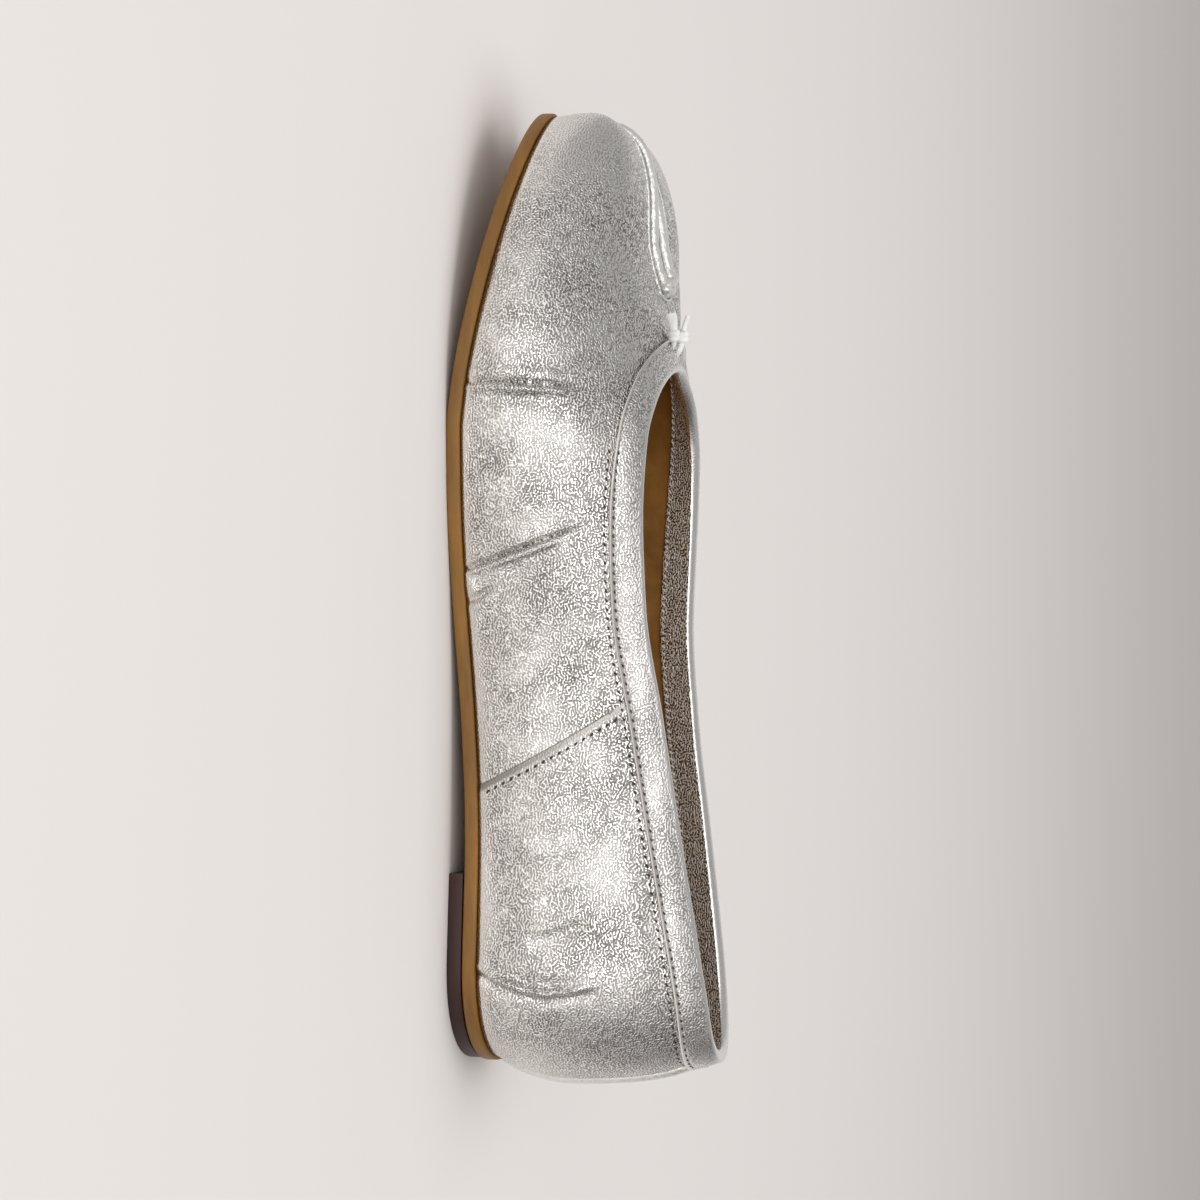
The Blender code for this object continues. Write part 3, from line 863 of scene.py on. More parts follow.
def worked_half(side):
    """One half of the skin with its creases: points, how strong the grain is at each, and the lap of the
    side seam, where the grain is rubbed flat and the colour is painted darker as shade."""
    points = upper_points(side, fine_stations(TIPS[side]["x"]), even(WALL_COLUMNS))
    steps = np.linalg.norm(np.diff(points, axis=1), axis=-1)
    height = np.concatenate([np.zeros((len(points), 1)), np.cumsum(steps, axis=1)], axis=1)
    from_top = topline_distance(points)
    move = relief(side, points, height, from_top)
    x = points[..., 0]
    rise = SOLE_GRAIN_RISE * (1 + ease((WAIST_FRONT - x) / WAIST_FADE))
    grain = SOLE_GRAIN + (1 - SOLE_GRAIN) * ease((height - SOLE_GRAIN_FOOT) / rise)
    grain *= 1 - TOE_RUB * ease((x - TOE_RUB_START) / TOE_RUB_FADE)
    low = ease((HEEL_RUB_TOP - height) / HEEL_RUB_DOWN)
    grain *= 1 - HEEL_RUB * ease((HEEL_RUB_END - x) / HEEL_RUB_FADE) * low
    base = fine_stations(TIPS[side]["x"])[:, None]
    # The lap of the side seam: its grain rubbed flat, and its colour painted darker as the shade of its edge
    lap = (base > SEAM_STATION - LAP_STRIP) & (base <= SEAM_STATION)
    rubbed = np.broadcast_to(lap.astype(float), x.shape)
    grain *= 1 - LAP_RUB * rubbed
    move *= 1 - np.exp(-(((base - SEAM_STATION + SEAM_ROW / 2) / SEAM_HELD) ** 2))
    return points + outward(points, side) * move[..., None], grain, rubbed


def add_node(material, kind, inputs=None, **settings):
    """Adds a node with its settings, its values and its links."""
    node = material.node_tree.nodes.new(kind)
    for name, value in settings.items():
        setattr(node, name, value)
    for name, value in (inputs or {}).items():
        if isinstance(value, bpy.types.NodeSocket):
            material.node_tree.links.new(value, node.inputs[name])
        else:
            node.inputs[name].default_value = value
    return node


def new_material(name):
    """An empty material with its shader, linked to the output."""
    material = bpy.data.materials.new(name)
    material.use_nodes = True
    return material, material.node_tree.nodes["Principled BSDF"]


def per_metre(size):
    """Scale of a pattern whose features are a size in millimetres apart."""
    return 1 / (size * MM)


# Patterns of the leathers: the size of their parts, or the height of their relief
STROKE_HEIGHT = 0.2
FACING_HEIGHT = 0.3
PATCH_SIZE = 14.0
PORE_SIZE = 0.6
PORE_HEIGHT = 0.1
GLINT_SIZE = 5.0
DENT_SIZE = 1.0
DENT_HEIGHT = 0.3
CLOUD_SIZE = 9.0

# Foil: where in their pattern the strokes start and are whole, the least that patches leave of them, the
# tone of foil without strokes, and its roughness between them and on them
STROKE_BAND = (0.38, 0.6)
PATCH_LEAST = 0.5
FLAT_TONE = 0.92
FOIL_ROUGHNESS = (0.45, 0.24)

# Plain leather: its darkest and lightest shade as shares of its colour, and how far its roughness varies
DARK_SHADE = 0.62
LIGHT_SHADE = 1.22
ROUGHNESS_SPREAD = 0.1


def foil_strokes(material, coords, period):
    """Short raised strokes that curl at random, 0 between them and 1 on top."""
    strokes = add_node(
        material,
        "ShaderNodeTexGabor",
        {"Vector": coords, "Scale": per_metre(2 * period), "Frequency": 2.0, "Anisotropy": 0.0},
        gabor_type="3D",
    ).outputs["Value"]
    return add_node(
        material,
        "ShaderNodeMapRange",
        {"Value": strokes, "From Min": STROKE_BAND[0], "From Max": STROKE_BAND[1]},
        interpolation_type="SMOOTHSTEP",
    ).outputs["Result"]


def silver_foil_leather():
    """Metal foil pressed on calf leather. The press leaves short raised strokes that curl at random, bright
    on top, and rougher between, where the hollows are painted darker as shade, and lasting rubs them flat
    where the leather is pulled hard."""
    name = "silver foil leather"
    if name in bpy.data.materials:
        return bpy.data.materials[name]
    sizes = bpy.context.scene.flat_sizes
    colours = bpy.context.scene.flat_colours
    material, shader = new_material(name)
    link = material.node_tree.links.new
    coords = add_node(material, "ShaderNodeTexCoord").outputs["Object"]
    strength = add_node(material, "ShaderNodeAttribute", attribute_name="grain").outputs["Fac"]
    edge = foil_strokes(material, coords, sizes.grain_size / MM)
    patches = add_node(
        material,
        "ShaderNodeTexNoise",
        {"Vector": coords, "Scale": per_metre(PATCH_SIZE), "Detail": 4.0, "Roughness": 0.65},
    ).outputs["Fac"]
    depth = add_node(
        material,
        "ShaderNodeMapRange",
        {"Value": patches, "From Min": 0.35, "From Max": 0.65, "To Min": PATCH_LEAST, "To Max": 1.0},
    ).outputs["Result"]
    amount = add_node(material, "ShaderNodeMath", {0: strength, 1: depth}, operation="MULTIPLY").outputs[0]
    tone = add_node(
        material, "ShaderNodeMix", {"Factor": amount, "A": FLAT_TONE, "B": edge}
    ).outputs["Result"]
    # Colour runs from the painted shade of the hollows up to the bright foil on the strokes
    colour = add_node(
        material,
        "ShaderNodeMix",
        {"Factor": tone, "A": colours.foil_valley_shade, "B": colours.foil_ridge},
        data_type="RGBA",
    ).outputs["Result"]
    # Darker foil on the lap of the side seam: painted shade of the lap's edge
    rubbed = add_node(material, "ShaderNodeAttribute", attribute_name="rubbed").outputs["Fac"]
    colour = add_node(
        material,
        "ShaderNodeMix",
        {"Factor": rubbed, "A": colour, "B": colours.foil_rubbed},
        data_type="RGBA",
    ).outputs["Result"]
    link(colour, shader.inputs["Base Color"])
    rough = add_node(
        material,
        "ShaderNodeMapRange",
        {"Value": tone, "To Min": FOIL_ROUGHNESS[0], "To Max": FOIL_ROUGHNESS[1]},
    ).outputs["Result"]
    link(rough, shader.inputs["Roughness"])
    shader.inputs["Metallic"].default_value = 1.0
    fine = add_node(
        material,
        "ShaderNodeTexNoise",
        {"Vector": coords, "Scale": per_metre(PORE_SIZE), "Detail": 2.0},
    ).outputs["Fac"]
    pores = add_node(
        material, "ShaderNodeBump", {"Strength": 0.2, "Distance": PORE_HEIGHT * MM, "Height": fine}
    ).outputs["Normal"]
    bump = add_node(
        material,
        "ShaderNodeBump",
        {"Strength": amount, "Distance": STROKE_HEIGHT * MM, "Height": edge, "Normal": pores},
    ).outputs["Normal"]
    link(bump, shader.inputs["Normal"])
    return material


def worn_foil_facing():
    """The same foil turned over to the inside, rubbed by the foot: the leather's brown shows between strokes
    that still glitter."""
    name = "worn foil facing"
    sizes = bpy.context.scene.flat_sizes
    colours = bpy.context.scene.flat_colours
    material, shader = new_material(name)
    link = material.node_tree.links.new
    coords = add_node(material, "ShaderNodeTexCoord").outputs["Object"]
    edge = foil_strokes(material, coords, sizes.grain_size / MM)
    glints = add_node(
        material,
        "ShaderNodeTexNoise",
        {"Vector": coords, "Scale": per_metre(GLINT_SIZE), "Detail": 4.0, "Roughness": 0.7},
    ).outputs["Fac"]
    bright = add_node(
        material, "ShaderNodeMapRange", {"Value": glints, "From Min": 0.4, "From Max": 0.58}
    ).outputs["Result"]
    top = add_node(
        material,
        "ShaderNodeMix",
        {"Factor": bright, "A": colours.facing, "B": colours.foil_ridge},
        data_type="RGBA",
    ).outputs["Result"]
    colour = add_node(
        material,
        "ShaderNodeMix",
        {"Factor": edge, "A": colours.facing_worn, "B": top},
        data_type="RGBA",
    ).outputs["Result"]
    link(colour, shader.inputs["Base Color"])
    shader.inputs["Metallic"].default_value = 0.4
    shader.inputs["Roughness"].default_value = 0.24
    bump = add_node(
        material, "ShaderNodeBump", {"Strength": 0.9, "Distance": FACING_HEIGHT * MM, "Height": edge}
    ).outputs["Normal"]
    link(bump, shader.inputs["Normal"])
    return material


def burnished_edge():
    """A folded edge of the same foil, rubbed smooth with a bone tool: pale and even, with small dents."""
    name = "burnished foil edge"
    if name in bpy.data.materials:
        return bpy.data.materials[name]
    colours = bpy.context.scene.flat_colours
    material, shader = new_material(name)
    coords = add_node(material, "ShaderNodeTexCoord").outputs["Object"]
    dents = add_node(
        material,
        "ShaderNodeTexNoise",
        {"Vector": coords, "Scale": per_metre(DENT_SIZE), "Detail": 2.0},
    ).outputs["Fac"]
    bump = add_node(
        material, "ShaderNodeBump", {"Strength": 1.0, "Distance": DENT_HEIGHT * MM, "Height": dents}
    ).outputs["Normal"]
    material.node_tree.links.new(bump, shader.inputs["Normal"])
    shader.inputs["Base Color"].default_value = colours.foil_edge
    shader.inputs["Metallic"].default_value = 0.75
    shader.inputs["Roughness"].default_value = 0.3
    return material


def plain_leather(name, colour, pore, depth, roughness, streak=None):
    """Plain leather, or waxed thread: an uneven colour with fine pores, in streaks where it is cut."""
    if name in bpy.data.materials:
        return bpy.data.materials[name]
    material, shader = new_material(name)
    link = material.node_tree.links.new
    coords = add_node(material, "ShaderNodeTexCoord").outputs["Object"]
    stretched = add_node(
        material, "ShaderNodeMapping", {"Vector": coords, "Scale": streak or (1.0, 1.0, 1.0)}
    ).outputs["Vector"]
    cloud = add_node(
        material,
        "ShaderNodeTexNoise",
        {"Vector": stretched, "Scale": per_metre(CLOUD_SIZE), "Detail": 6.0, "Roughness": 0.65},
    ).outputs["Fac"]
    shade = add_node(
        material, "ShaderNodeMapRange", {"Value": cloud, "From Min": 0.3, "From Max": 0.7}
    ).outputs["Result"]
    dark = tuple(part * DARK_SHADE for part in colour[:3])
    light = tuple(min(part * LIGHT_SHADE, 1.0) for part in colour[:3])
    mixed = add_node(
        material,
        "ShaderNodeMix",
        {"Factor": shade, "A": (*dark, 1.0), "B": (*light, 1.0)},
        data_type="RGBA",
    ).outputs["Result"]
    link(mixed, shader.inputs["Base Color"])
    pores = add_node(
        material,
        "ShaderNodeTexVoronoi",
        {"Vector": stretched, "Scale": per_metre(pore), "Randomness": 1.0},
        feature="SMOOTH_F1",
    ).outputs["Distance"]
    rough = add_node(
        material,
        "ShaderNodeMapRange",
        {
            "Value": cloud,
            "To Min": roughness - ROUGHNESS_SPREAD,
            "To Max": roughness + ROUGHNESS_SPREAD,
        },
    ).outputs["Result"]
    link(rough, shader.inputs["Roughness"])
    bump = add_node(
        material, "ShaderNodeBump", {"Strength": 0.6, "Distance": depth * MM, "Height": pores}
    ).outputs["Normal"]
    link(bump, shader.inputs["Normal"])
    return material


def make_upper():
    """Both halves of the skin as one closed piece, silver outside and lined inside."""
    bm = bmesh.new()
    for side in TIPS:
        points, grain, rubbed = worked_half(side)
        # The lap mask carries both the flattened grain and the painted shade of the side seam's lap
        add_grid(bm, points, grain=grain, rubbed=rubbed)
    close_seams(bm)
    face_towards(bm, Vector((0, 1, 0)))
    colours = bpy.context.scene.flat_colours
    lining = plain_leather("calf lining", colours.lining, pore=0.8, depth=0.06, roughness=0.6)
    obj = finish_piece("upper_leather", bm, [silver_foil_leather(), lining], ["upper"])
    thicken(obj, WALL, inner_material=1)


class FLAT_OT_upper(bpy.types.Operator):
    """Makes the creased silver upper with its lining"""

    bl_idname = "flat.upper"
    bl_label = "Upper"

    def execute(self, context):
        make_upper()
        return {"FINISHED"}


# Length over which the sole's edge takes up the step of the lap
STEP_LOST = 40.0


def sole_edges(side, margin, cleft):
    """Outer and inner edge, seen from above, of a flat piece whose outline stands a margin outside the
    feather edge, with its cleft between the lobes starting at the given station."""
    tip = TIPS[side]
    stations = fine_stations(tip["x"])
    rim = upper_points(side, stations, [0.0, 1.0])
    edges = []
    for column, facing in ((0, side), (1, -side)):
        x, y = rim[:, column, :1], rim[:, column, 1:2]
        normals = np.concatenate(plan_normals(x, y, facing), axis=1)
        normals[0] = (-1, 0)
        normals[-1] = (1, 0)
        edges.append((rim[:, column, :2], normals))
    (foot, foot_normal), (wall, wall_normal) = edges
    step = QUARTER_STEP * ease((stations - SEAM_STATION) / STEP_LOST + 1) * (stations <= SEAM_STATION)
    outer = foot + (margin - step)[:, None] * foot_normal
    opening = np.sqrt(np.clip((stations - cleft) / (SPLIT_FOOT - cleft + TINY), 0, 1))
    near_tip = ease((stations - tip["inner"]) / (tip["x"] - tip["inner"]))
    reach = margin * np.where(margin > 0, near_tip, opening)
    inner = wall + reach[:, None] * wall_normal
    behind = stations <= SPLIT_FOOT
    inner[behind, 0] = outer[behind, 0]
    inner[behind, 1] = LOBES.at("middle", stations[behind]) - side * min(margin, 0) * opening[behind]
    inner[0] = outer[0]
    return outer, inner, behind


FLAT_COLUMNS = 7
EDGE_STEPS = 4


def flat_piece(margin, cleft, lift, thickness, edge, last_station=LENGTH + 1):
    """A rounded slab that follows the underside of the foot, its bottom face a lift above it."""
    edges = {side: sole_edges(side, margin - edge, cleft) for side in TIPS}
    shared = edges[LATERAL][2]
    middle_x = sum(inner[shared, 0] for _, inner, _ in edges.values()) / 2
    bm = bmesh.new()
    for outer, inner, _ in edges.values():
        inner[shared, 0] = middle_x
        keep = np.maximum(outer[:, 0], inner[:, 0]) < last_station - edge
        outer, inner = outer[keep], inner[keep]
        if not keep.all():
            outer = np.append(outer, [(last_station - edge, outer[-1, 1])], axis=0)
            inner = np.append(inner, [(last_station - edge, inner[-1, 1])], axis=0)
        t = even(FLAT_COLUMNS)[None, :, None]
        plan = outer[:, None] * (1 - t) + inner[:, None] * t
        height = underside(plan[..., :1]) + lift
        add_grid(bm, np.concatenate([plan, height], axis=-1))
    close_seams(bm)
    face_towards(bm, Vector((0, 0, -1)))
    round_slab(bm, thickness, edge)
    return bm


def round_slab(bm, thickness, edge):
    """Gives a flat skin its thickness upwards, with a rounded edge that stands out from its rim."""
    bottom = list(bm.faces)
    rim = [e for e in bm.edges if e.is_boundary]
    out = {}
    for e in rim:
        face = e.link_faces[0]
        for loop in face.loops:
            if loop.edge == e:
                along = loop.link_loop_next.vert.co - loop.vert.co
                away = Vector((-along.y, along.x, 0)).normalized()
        for vertex in e.verts:
            out[vertex] = out.get(vertex, Vector()) + away
    turn = even(EDGE_STEPS) * np.pi / 2
    profile = [(np.sin(t) * edge, (1 - np.cos(t)) * edge) for t in turn[1:]]
    profile += [(across, thickness - up) for across, up in reversed([(0.0, 0.0), *profile])]
    origin = {vertex: vertex.co.copy() for vertex in out}
    base = {vertex: vertex for vertex in out}
    way = {vertex: away.normalized() for vertex, away in out.items()}
    top = bmesh.ops.duplicate(bm, geom=bottom)["geom"]
    lid = [g for g in top if isinstance(g, bmesh.types.BMFace)]
    bmesh.ops.reverse_faces(bm, faces=lid)
    bmesh.ops.translate(bm, vec=(0, 0, thickness * MM), verts=list({v for f in lid for v in f.verts}))
    for across, up in profile:
        made = bmesh.ops.extrude_edge_only(bm, edges=rim)["geom"]
        fresh = {g for g in made if isinstance(g, bmesh.types.BMVert)}
        rim = [g for g in made if isinstance(g, bmesh.types.BMEdge)]
        for vertex in fresh:
            ends = [e.other_vert(vertex) for e in vertex.link_edges]
            source = base[next(end for end in ends if end not in fresh)]
            vertex.co = origin[source] + way[source] * (across * MM) + Vector((0, 0, up * MM))
            base[vertex] = source
    bmesh.ops.remove_doubles(bm, verts=bm.verts, dist=WELD * MM)


# How the fibres at a cut edge draw the pattern out: along, across and up
SOLE_STREAK = (0.25, 0.25, 1.6)


def make_sole():
    """The outsole, the heel lift under it and the sock inside, as rounded slabs."""
    colours = bpy.context.scene.flat_colours
    edge = bpy.context.scene.flat_sizes.sole_edge_round / MM
    sole = plain_leather(
        "tan sole leather", colours.sole, pore=0.5, depth=0.05, roughness=0.5, streak=SOLE_STREAK
    )
    bm = flat_piece(SOLE_MARGIN, SPLIT_FOOT, 0.0, SOLE_THICKNESS, edge)
    finish_piece("outsole_leather", bm, [sole], ["outsole"])
    lift = plain_leather(
        "heel lift leather", colours.heel, pore=0.5, depth=0.05, roughness=0.45, streak=SOLE_STREAK
    )
    margin = SOLE_MARGIN - HEEL_INSET
    bm = flat_piece(margin, SPLIT_FOOT, -HEEL_SEAT, HEEL_SEAT - SEAT_GAP, edge / 2, HEEL_FRONT)
    finish_piece("heel_lift", bm, [lift], ["heel"])
    sock = plain_leather("leather sock", colours.sock, pore=0.9, depth=0.06, roughness=0.55)
    inset = -(WALL + 2 * SEAT_GAP)
    bm = flat_piece(inset, INSOLE_CLEFT, SOLE_THICKNESS + SEAT_GAP, INSOLE_THICKNESS, edge / 2)
    finish_piece("sock_leather", bm, [sock], ["insole"])


class FLAT_OT_sole(bpy.types.Operator):
    """Makes the outsole, the heel lift and the sock"""

    bl_idname = "flat.sole"
    bl_label = "Sole, heel and sock"

    def execute(self, context):
        make_sole()
        return {"FINISHED"}


# Section of the binding: steps down each face and over the top, and the rise of that roll
STRIP_STEPS = 20
ROLL_STEPS = 8
ROLL_RISE = 0.85

# Its lower edge: a stitched groove, and the lip under it
ROW_ABOVE = 1.1
ROW_PULL = 0.4
LIP_HEIGHT = 0.55
LIP_WIDTH = 0.5
LIP_IN = 0.3

# Its grain, rubbed off the lip and the top edge
BINDING_GRAIN = 0.8
LIP_FADE = 0.3
EDGE_BAND = 1.2
EDGE_RUB = 0.8

# How much thinner the piece is than its solid, so that it clears the wall
BINDING_PLAY = 0.05


def binding_profile(width, puff):
    """Steps of the section from its outer edge over the top to the inner one: which place of the strip each
    lies at, how far down from the topline, and its offset from the skin."""
    stand = SEAT_GAP + BINDING_THICKNESS
    profile = []
    for step in range(STRIP_STEPS, -1, -1):
        down = width * step / STRIP_STEPS
        row = width - ROW_ABOVE
        offset = stand + puff * np.sin(np.pi * np.clip(down / row, 0, 1))
        offset += LIP_HEIGHT * np.exp(-(((down - width + LIP_IN) / LIP_WIDTH) ** 2))
        offset -= SEAM_GROOVE * np.exp(-(((down - row) / ROW_PULL) ** 2))
        profile.append((step, down, offset))
    half = WALL / 2 + stand
    for angle in even(ROLL_STEPS)[1:-1] * np.pi:
        profile.append((0, -ROLL_RISE * np.sin(angle), half * np.cos(angle) - WALL / 2))
    for step in range(STRIP_STEPS + 1):
        profile.append((step, width * step / STRIP_STEPS, -(WALL + stand)))
    return profile


def make_binding():
    """The strip folded over the topline, silver outside and worn inside."""
    sizes = bpy.context.scene.flat_sizes
    width = sizes.binding_width / MM
    profile = binding_profile(width, sizes.binding_puff / MM)
    block = []
    for row in topline_strip(width, STRIP_STEPS):
        line = []
        for step, down, offset in profile:
            place, normal, way = row[step]
            above = way * (min(down, 0.0) * MM)
            line.append(np.array(place + above + normal * (offset * MM)) / MM + SHIFT)
        block.append(line)
    block.append(block[0])
    block = np.array(block)
    down = np.array([row[1] for row in profile])
    inside = np.arange(len(profile)) >= len(profile) - STRIP_STEPS - 1
    lip = ease((down - width + ROW_ABOVE) / LIP_FADE) * ~inside
    edge = ease(1 - down / EDGE_BAND) * ~inside
    grain = BINDING_GRAIN * (1 - lip) * (1 - EDGE_RUB * edge)
    bm = bmesh.new()
    shape = block.shape[:2]
    add_grid(bm, block, grain=np.broadcast_to(grain, shape), inside=np.broadcast_to(inside, shape))
    close_seams(bm)
    face_towards(bm, Vector((0, 1, 0)))
    layer = bm.verts.layers.float["inside"]
    for face in bm.faces:
        face.material_index = int(all(vertex[layer] for vertex in face.verts))
    materials = [silver_foil_leather(), worn_foil_facing()]
    obj = finish_piece("collar_binding_leather", bm, materials, ["collar_binding"])
    thicken(obj, BINDING_THICKNESS - BINDING_PLAY)


class FLAT_OT_binding(bpy.types.Operator):
    """Makes the binding round the collar"""

    bl_idname = "flat.binding"
    bl_label = "Collar binding"

    def execute(self, context):
        make_binding()
        return {"FINISHED"}


# Rings that close a cord's end: share of its section, and reach past its last place as a share of its height
ROUND_END = ((1.0, 0.0), (0.8, 0.6), (0.45, 0.9), (0.0, 1.0))
CUT_END = ((1.0, 0.0), (0.0, 0.0))


def add_tube(bm, path, normals, half_width, half_height, sides=12, cut=False):
    """Adds a closed cord of oval section along places in the shoe's own sizes, with round or cut ends."""
    path = np.asarray(path, float)
    normals = np.asarray(normals, float)
    along = np.gradient(path, axis=0)
    along /= np.linalg.norm(along, axis=1, keepdims=True)
    across = np.cross(along, normals)
    across /= np.linalg.norm(across, axis=1, keepdims=True)
    normals = np.cross(across, along)
    width = np.broadcast_to(half_width, len(path)).astype(float)
    height = np.broadcast_to(half_height, len(path)).astype(float)
    angle = even(sides + 1) * 2 * np.pi
    rows = []
    stops = CUT_END if cut else ROUND_END
    ends = [(0, scale, -reach) for scale, reach in reversed(stops)]
    middle = [(index, 1.0, 0.0) for index in range(1, len(path) - 1)]
    tips = [(len(path) - 1, scale, reach) for scale, reach in stops]
    for index, scale, reach in ends + middle + tips:
        centre = path[index] + along[index] * reach * height[index]
        ring = centre + scale * (
            np.cos(angle)[:, None] * across[index] * width[index]
            + np.sin(angle)[:, None] * normals[index] * height[index]
        )
        ring[-1] = ring[0]
        rows.append(ring)
    add_grid(bm, np.array(rows))


# Welts: places along each, height as a share of the width, and the patch of skin that gives a normal
WELT_POINTS = 90
WELT_RISE = 0.95
PATCH_STEP = 0.02

# Thin ridge beside a welt: how far out it runs, its radius, and the turn round the end of the split
BEAD_OUT = 2.6
BEAD_RADIUS = 0.36
BEAD_ROOT = 2.2
BEAD_ROOT_POINTS = 10


def welt_line(side):
    """Points of the skin under a welt, with the skin's normals and the way from the split to the crown."""
    s = even(WELT_POINTS)
    scale = (TIPS[side]["x"] - SPLIT_END) / (LENGTH - SPLIT_END)
    x = SPLIT_END + (WELT_COURSE.at("x", s) - SPLIT_END) * scale
    share = crown_share(x)
    columns = share + (1 - share) * WELT_COURSE.at(SIDE_NAMES[side], s)
    near = np.array((-PATCH_STEP, 0, PATCH_STEP))
    points, normals, ways = [], [], []
    for station, column in zip(x, columns):
        patch = upper_points(side, station + near, column + near)
        along = patch[2, 1] - patch[0, 1]
        around = patch[1, 2] - patch[1, 0]
        normal = np.cross(around, along) * side
        points.append(patch[1, 1])
        normals.append(normal / np.linalg.norm(normal))
        ways.append(-around / np.linalg.norm(around))
    return np.array(points), np.array(normals), np.array(ways)


def on_skin(points, lift):
    """Nearest places of the smooth skin to the points, lifted off it, and the normals there."""
    found = [smooth_skin().find_nearest(Vector(place)) for place in placed(points)]
    places = np.array([tuple(place) for place, _, _, _ in found]) / MM + SHIFT
    normals = np.array([tuple(normal) for _, normal, _, _ in found])
    return places + normals * lift, normals


def smoothed(points, rounds=4):
    """Points of an open course with small kinks taken out."""
    for _ in range(rounds):
        points[1:-1] = (points[:-2] + 2 * points[1:-1] + points[2:]) / 4
    return points


def make_welts():
    """A raised edge along each side of the split, with its thin ridge."""
    half = bpy.context.scene.flat_sizes.welt_width / MM / 2
    lines = {side: welt_line(side) for side in SIDE_NAMES}
    starts = [points[0] + ways[0] * BEAD_OUT for points, _, ways in lines.values()]
    root = np.mean(starts, axis=0) - np.array((BEAD_ROOT, 0, 0))
    angle = np.linspace(0, np.pi / 2, BEAD_ROOT_POINTS)[:-1]
    for side, name in SIDE_NAMES.items():
        points, normals, ways = lines[side]
        bm = bmesh.new()
        add_tube(bm, points + normals * (half * WELT_RISE), normals, half, half * WELT_RISE)
        edge = points + ways * BEAD_OUT
        shares = np.stack([1 - np.cos(angle), np.sin(angle), np.sin(angle)], axis=1)
        course = np.concatenate([root + (edge[0] - root) * shares, edge])
        bead, bead_normals = on_skin(course, BEAD_RADIUS / 2)
        add_tube(bm, smoothed(bead), bead_normals, BEAD_RADIUS, BEAD_RADIUS, sides=8)
        close_seams(bm)
        finish_piece(
            f"split_welt_{name}_leather", bm, [burnished_edge()], [f"split_welt_{name}"]
        )


class FLAT_OT_welts(bpy.types.Operator):
    """Makes the raised edges along the split"""

    bl_idname = "flat.welts"
    bl_label = "Split welts"

    def execute(self, context):
        make_welts()
        return {"FINISHED"}


def spread(line, pitch):
    """Places at an even pitch along a line of points, and the way along it at each."""
    line = np.asarray(line, float)
    steps = np.linalg.norm(np.diff(line, axis=0), axis=1)
    done = np.concatenate([[0], np.cumsum(steps)])
    marks = np.arange(pitch / 2, done[-1], pitch)
    places, ahead, back = (
        np.stack([np.interp(marks + shift, done, line[:, axis]) for axis in range(3)], axis=1)
        for shift in (0.0, pitch / 4, -pitch / 4)
    )
    along = ahead - back
    return places, along / (np.linalg.norm(along, axis=1, keepdims=True) + TINY)


def add_stitches(bm, line, normals, pitch, size, slant):
    """Adds one small rounded stitch at each pitch of a line, turned by the slant about the skin's normal."""
    places, along = spread(line, pitch)
    line = np.asarray(line, float)
    for place, way in zip(places, along):
        nearest = np.argmin(np.linalg.norm(line - place, axis=1))
        up = Vector(normals[nearest]).normalized()
        forward = Vector(way)
        forward = (forward - up * forward.dot(up)).normalized()
        forward.rotate(Matrix.Rotation(np.radians(slant), 3, up))
        across = up.cross(forward)
        turn = Matrix((forward, across, up)).transposed().to_4x4()
        scale = Matrix.Diagonal((*(part * MM for part in size), 1))
        bmesh.ops.create_uvsphere(
            bm,
            u_segments=STITCH_AROUND,
            v_segments=STITCH_ALONG,
            radius=0.5,
            matrix=Matrix.Translation(placed(place)) @ turn @ scale,
        )


STITCH_AROUND = 8
STITCH_ALONG = 6

# Sunk stitches along the binding and the side seams, dark as painted shade of their holes: length, width and
# height, how far they stand out, their turn to the row in degrees, and where the rows lie and end
HOLE_SIZE = (1.2, 0.68, 0.4)
HOLE_LIFT = 0.1
HOLE_SLANT = 28.0
HOLES_END = 158.0
SEAM_ROW = 2.3
SEAM_SLANT = 20.0
SEAM_CLEAR = 2.2
SEAM_COLUMNS = np.linspace(0.03, 0.99, 80)

# Those beside the welts, dark as painted hole shade too, and the pale ones inside the collar
WELT_PITCH = 1.7
WELT_HOLE = (0.8, 0.45, 0.3)
WELT_HOLE_OUT = 0.15
WELT_HOLE_LIFT = 0.05
THREAD_SIZE = (1.5, 0.55, 0.5)
THREAD_ROW = 0.7
THREAD_PITCH = 0.8
THREAD_SLANT = 50.0

# Strip of skin that the rows along the collar are found on: how far it goes past the binding, and its steps
ROW_SPARE = 2.0
ROW_STEPS = 40


def strip_line(down, offset):
    """A line round the collar, a way down from the topline and an offset from the skin, with normals."""
    width = bpy.context.scene.flat_sizes.binding_width / MM + ROW_SPARE
    step = round(down / width * ROW_STEPS)
    rows = topline_strip(width, ROW_STEPS)
    line = [np.array(row[step][0] + row[step][1] * (offset * MM)) / MM + SHIFT for row in rows]
    normals = [np.array(row[step][1]) for row in rows]
    return np.array(line), np.array(normals)


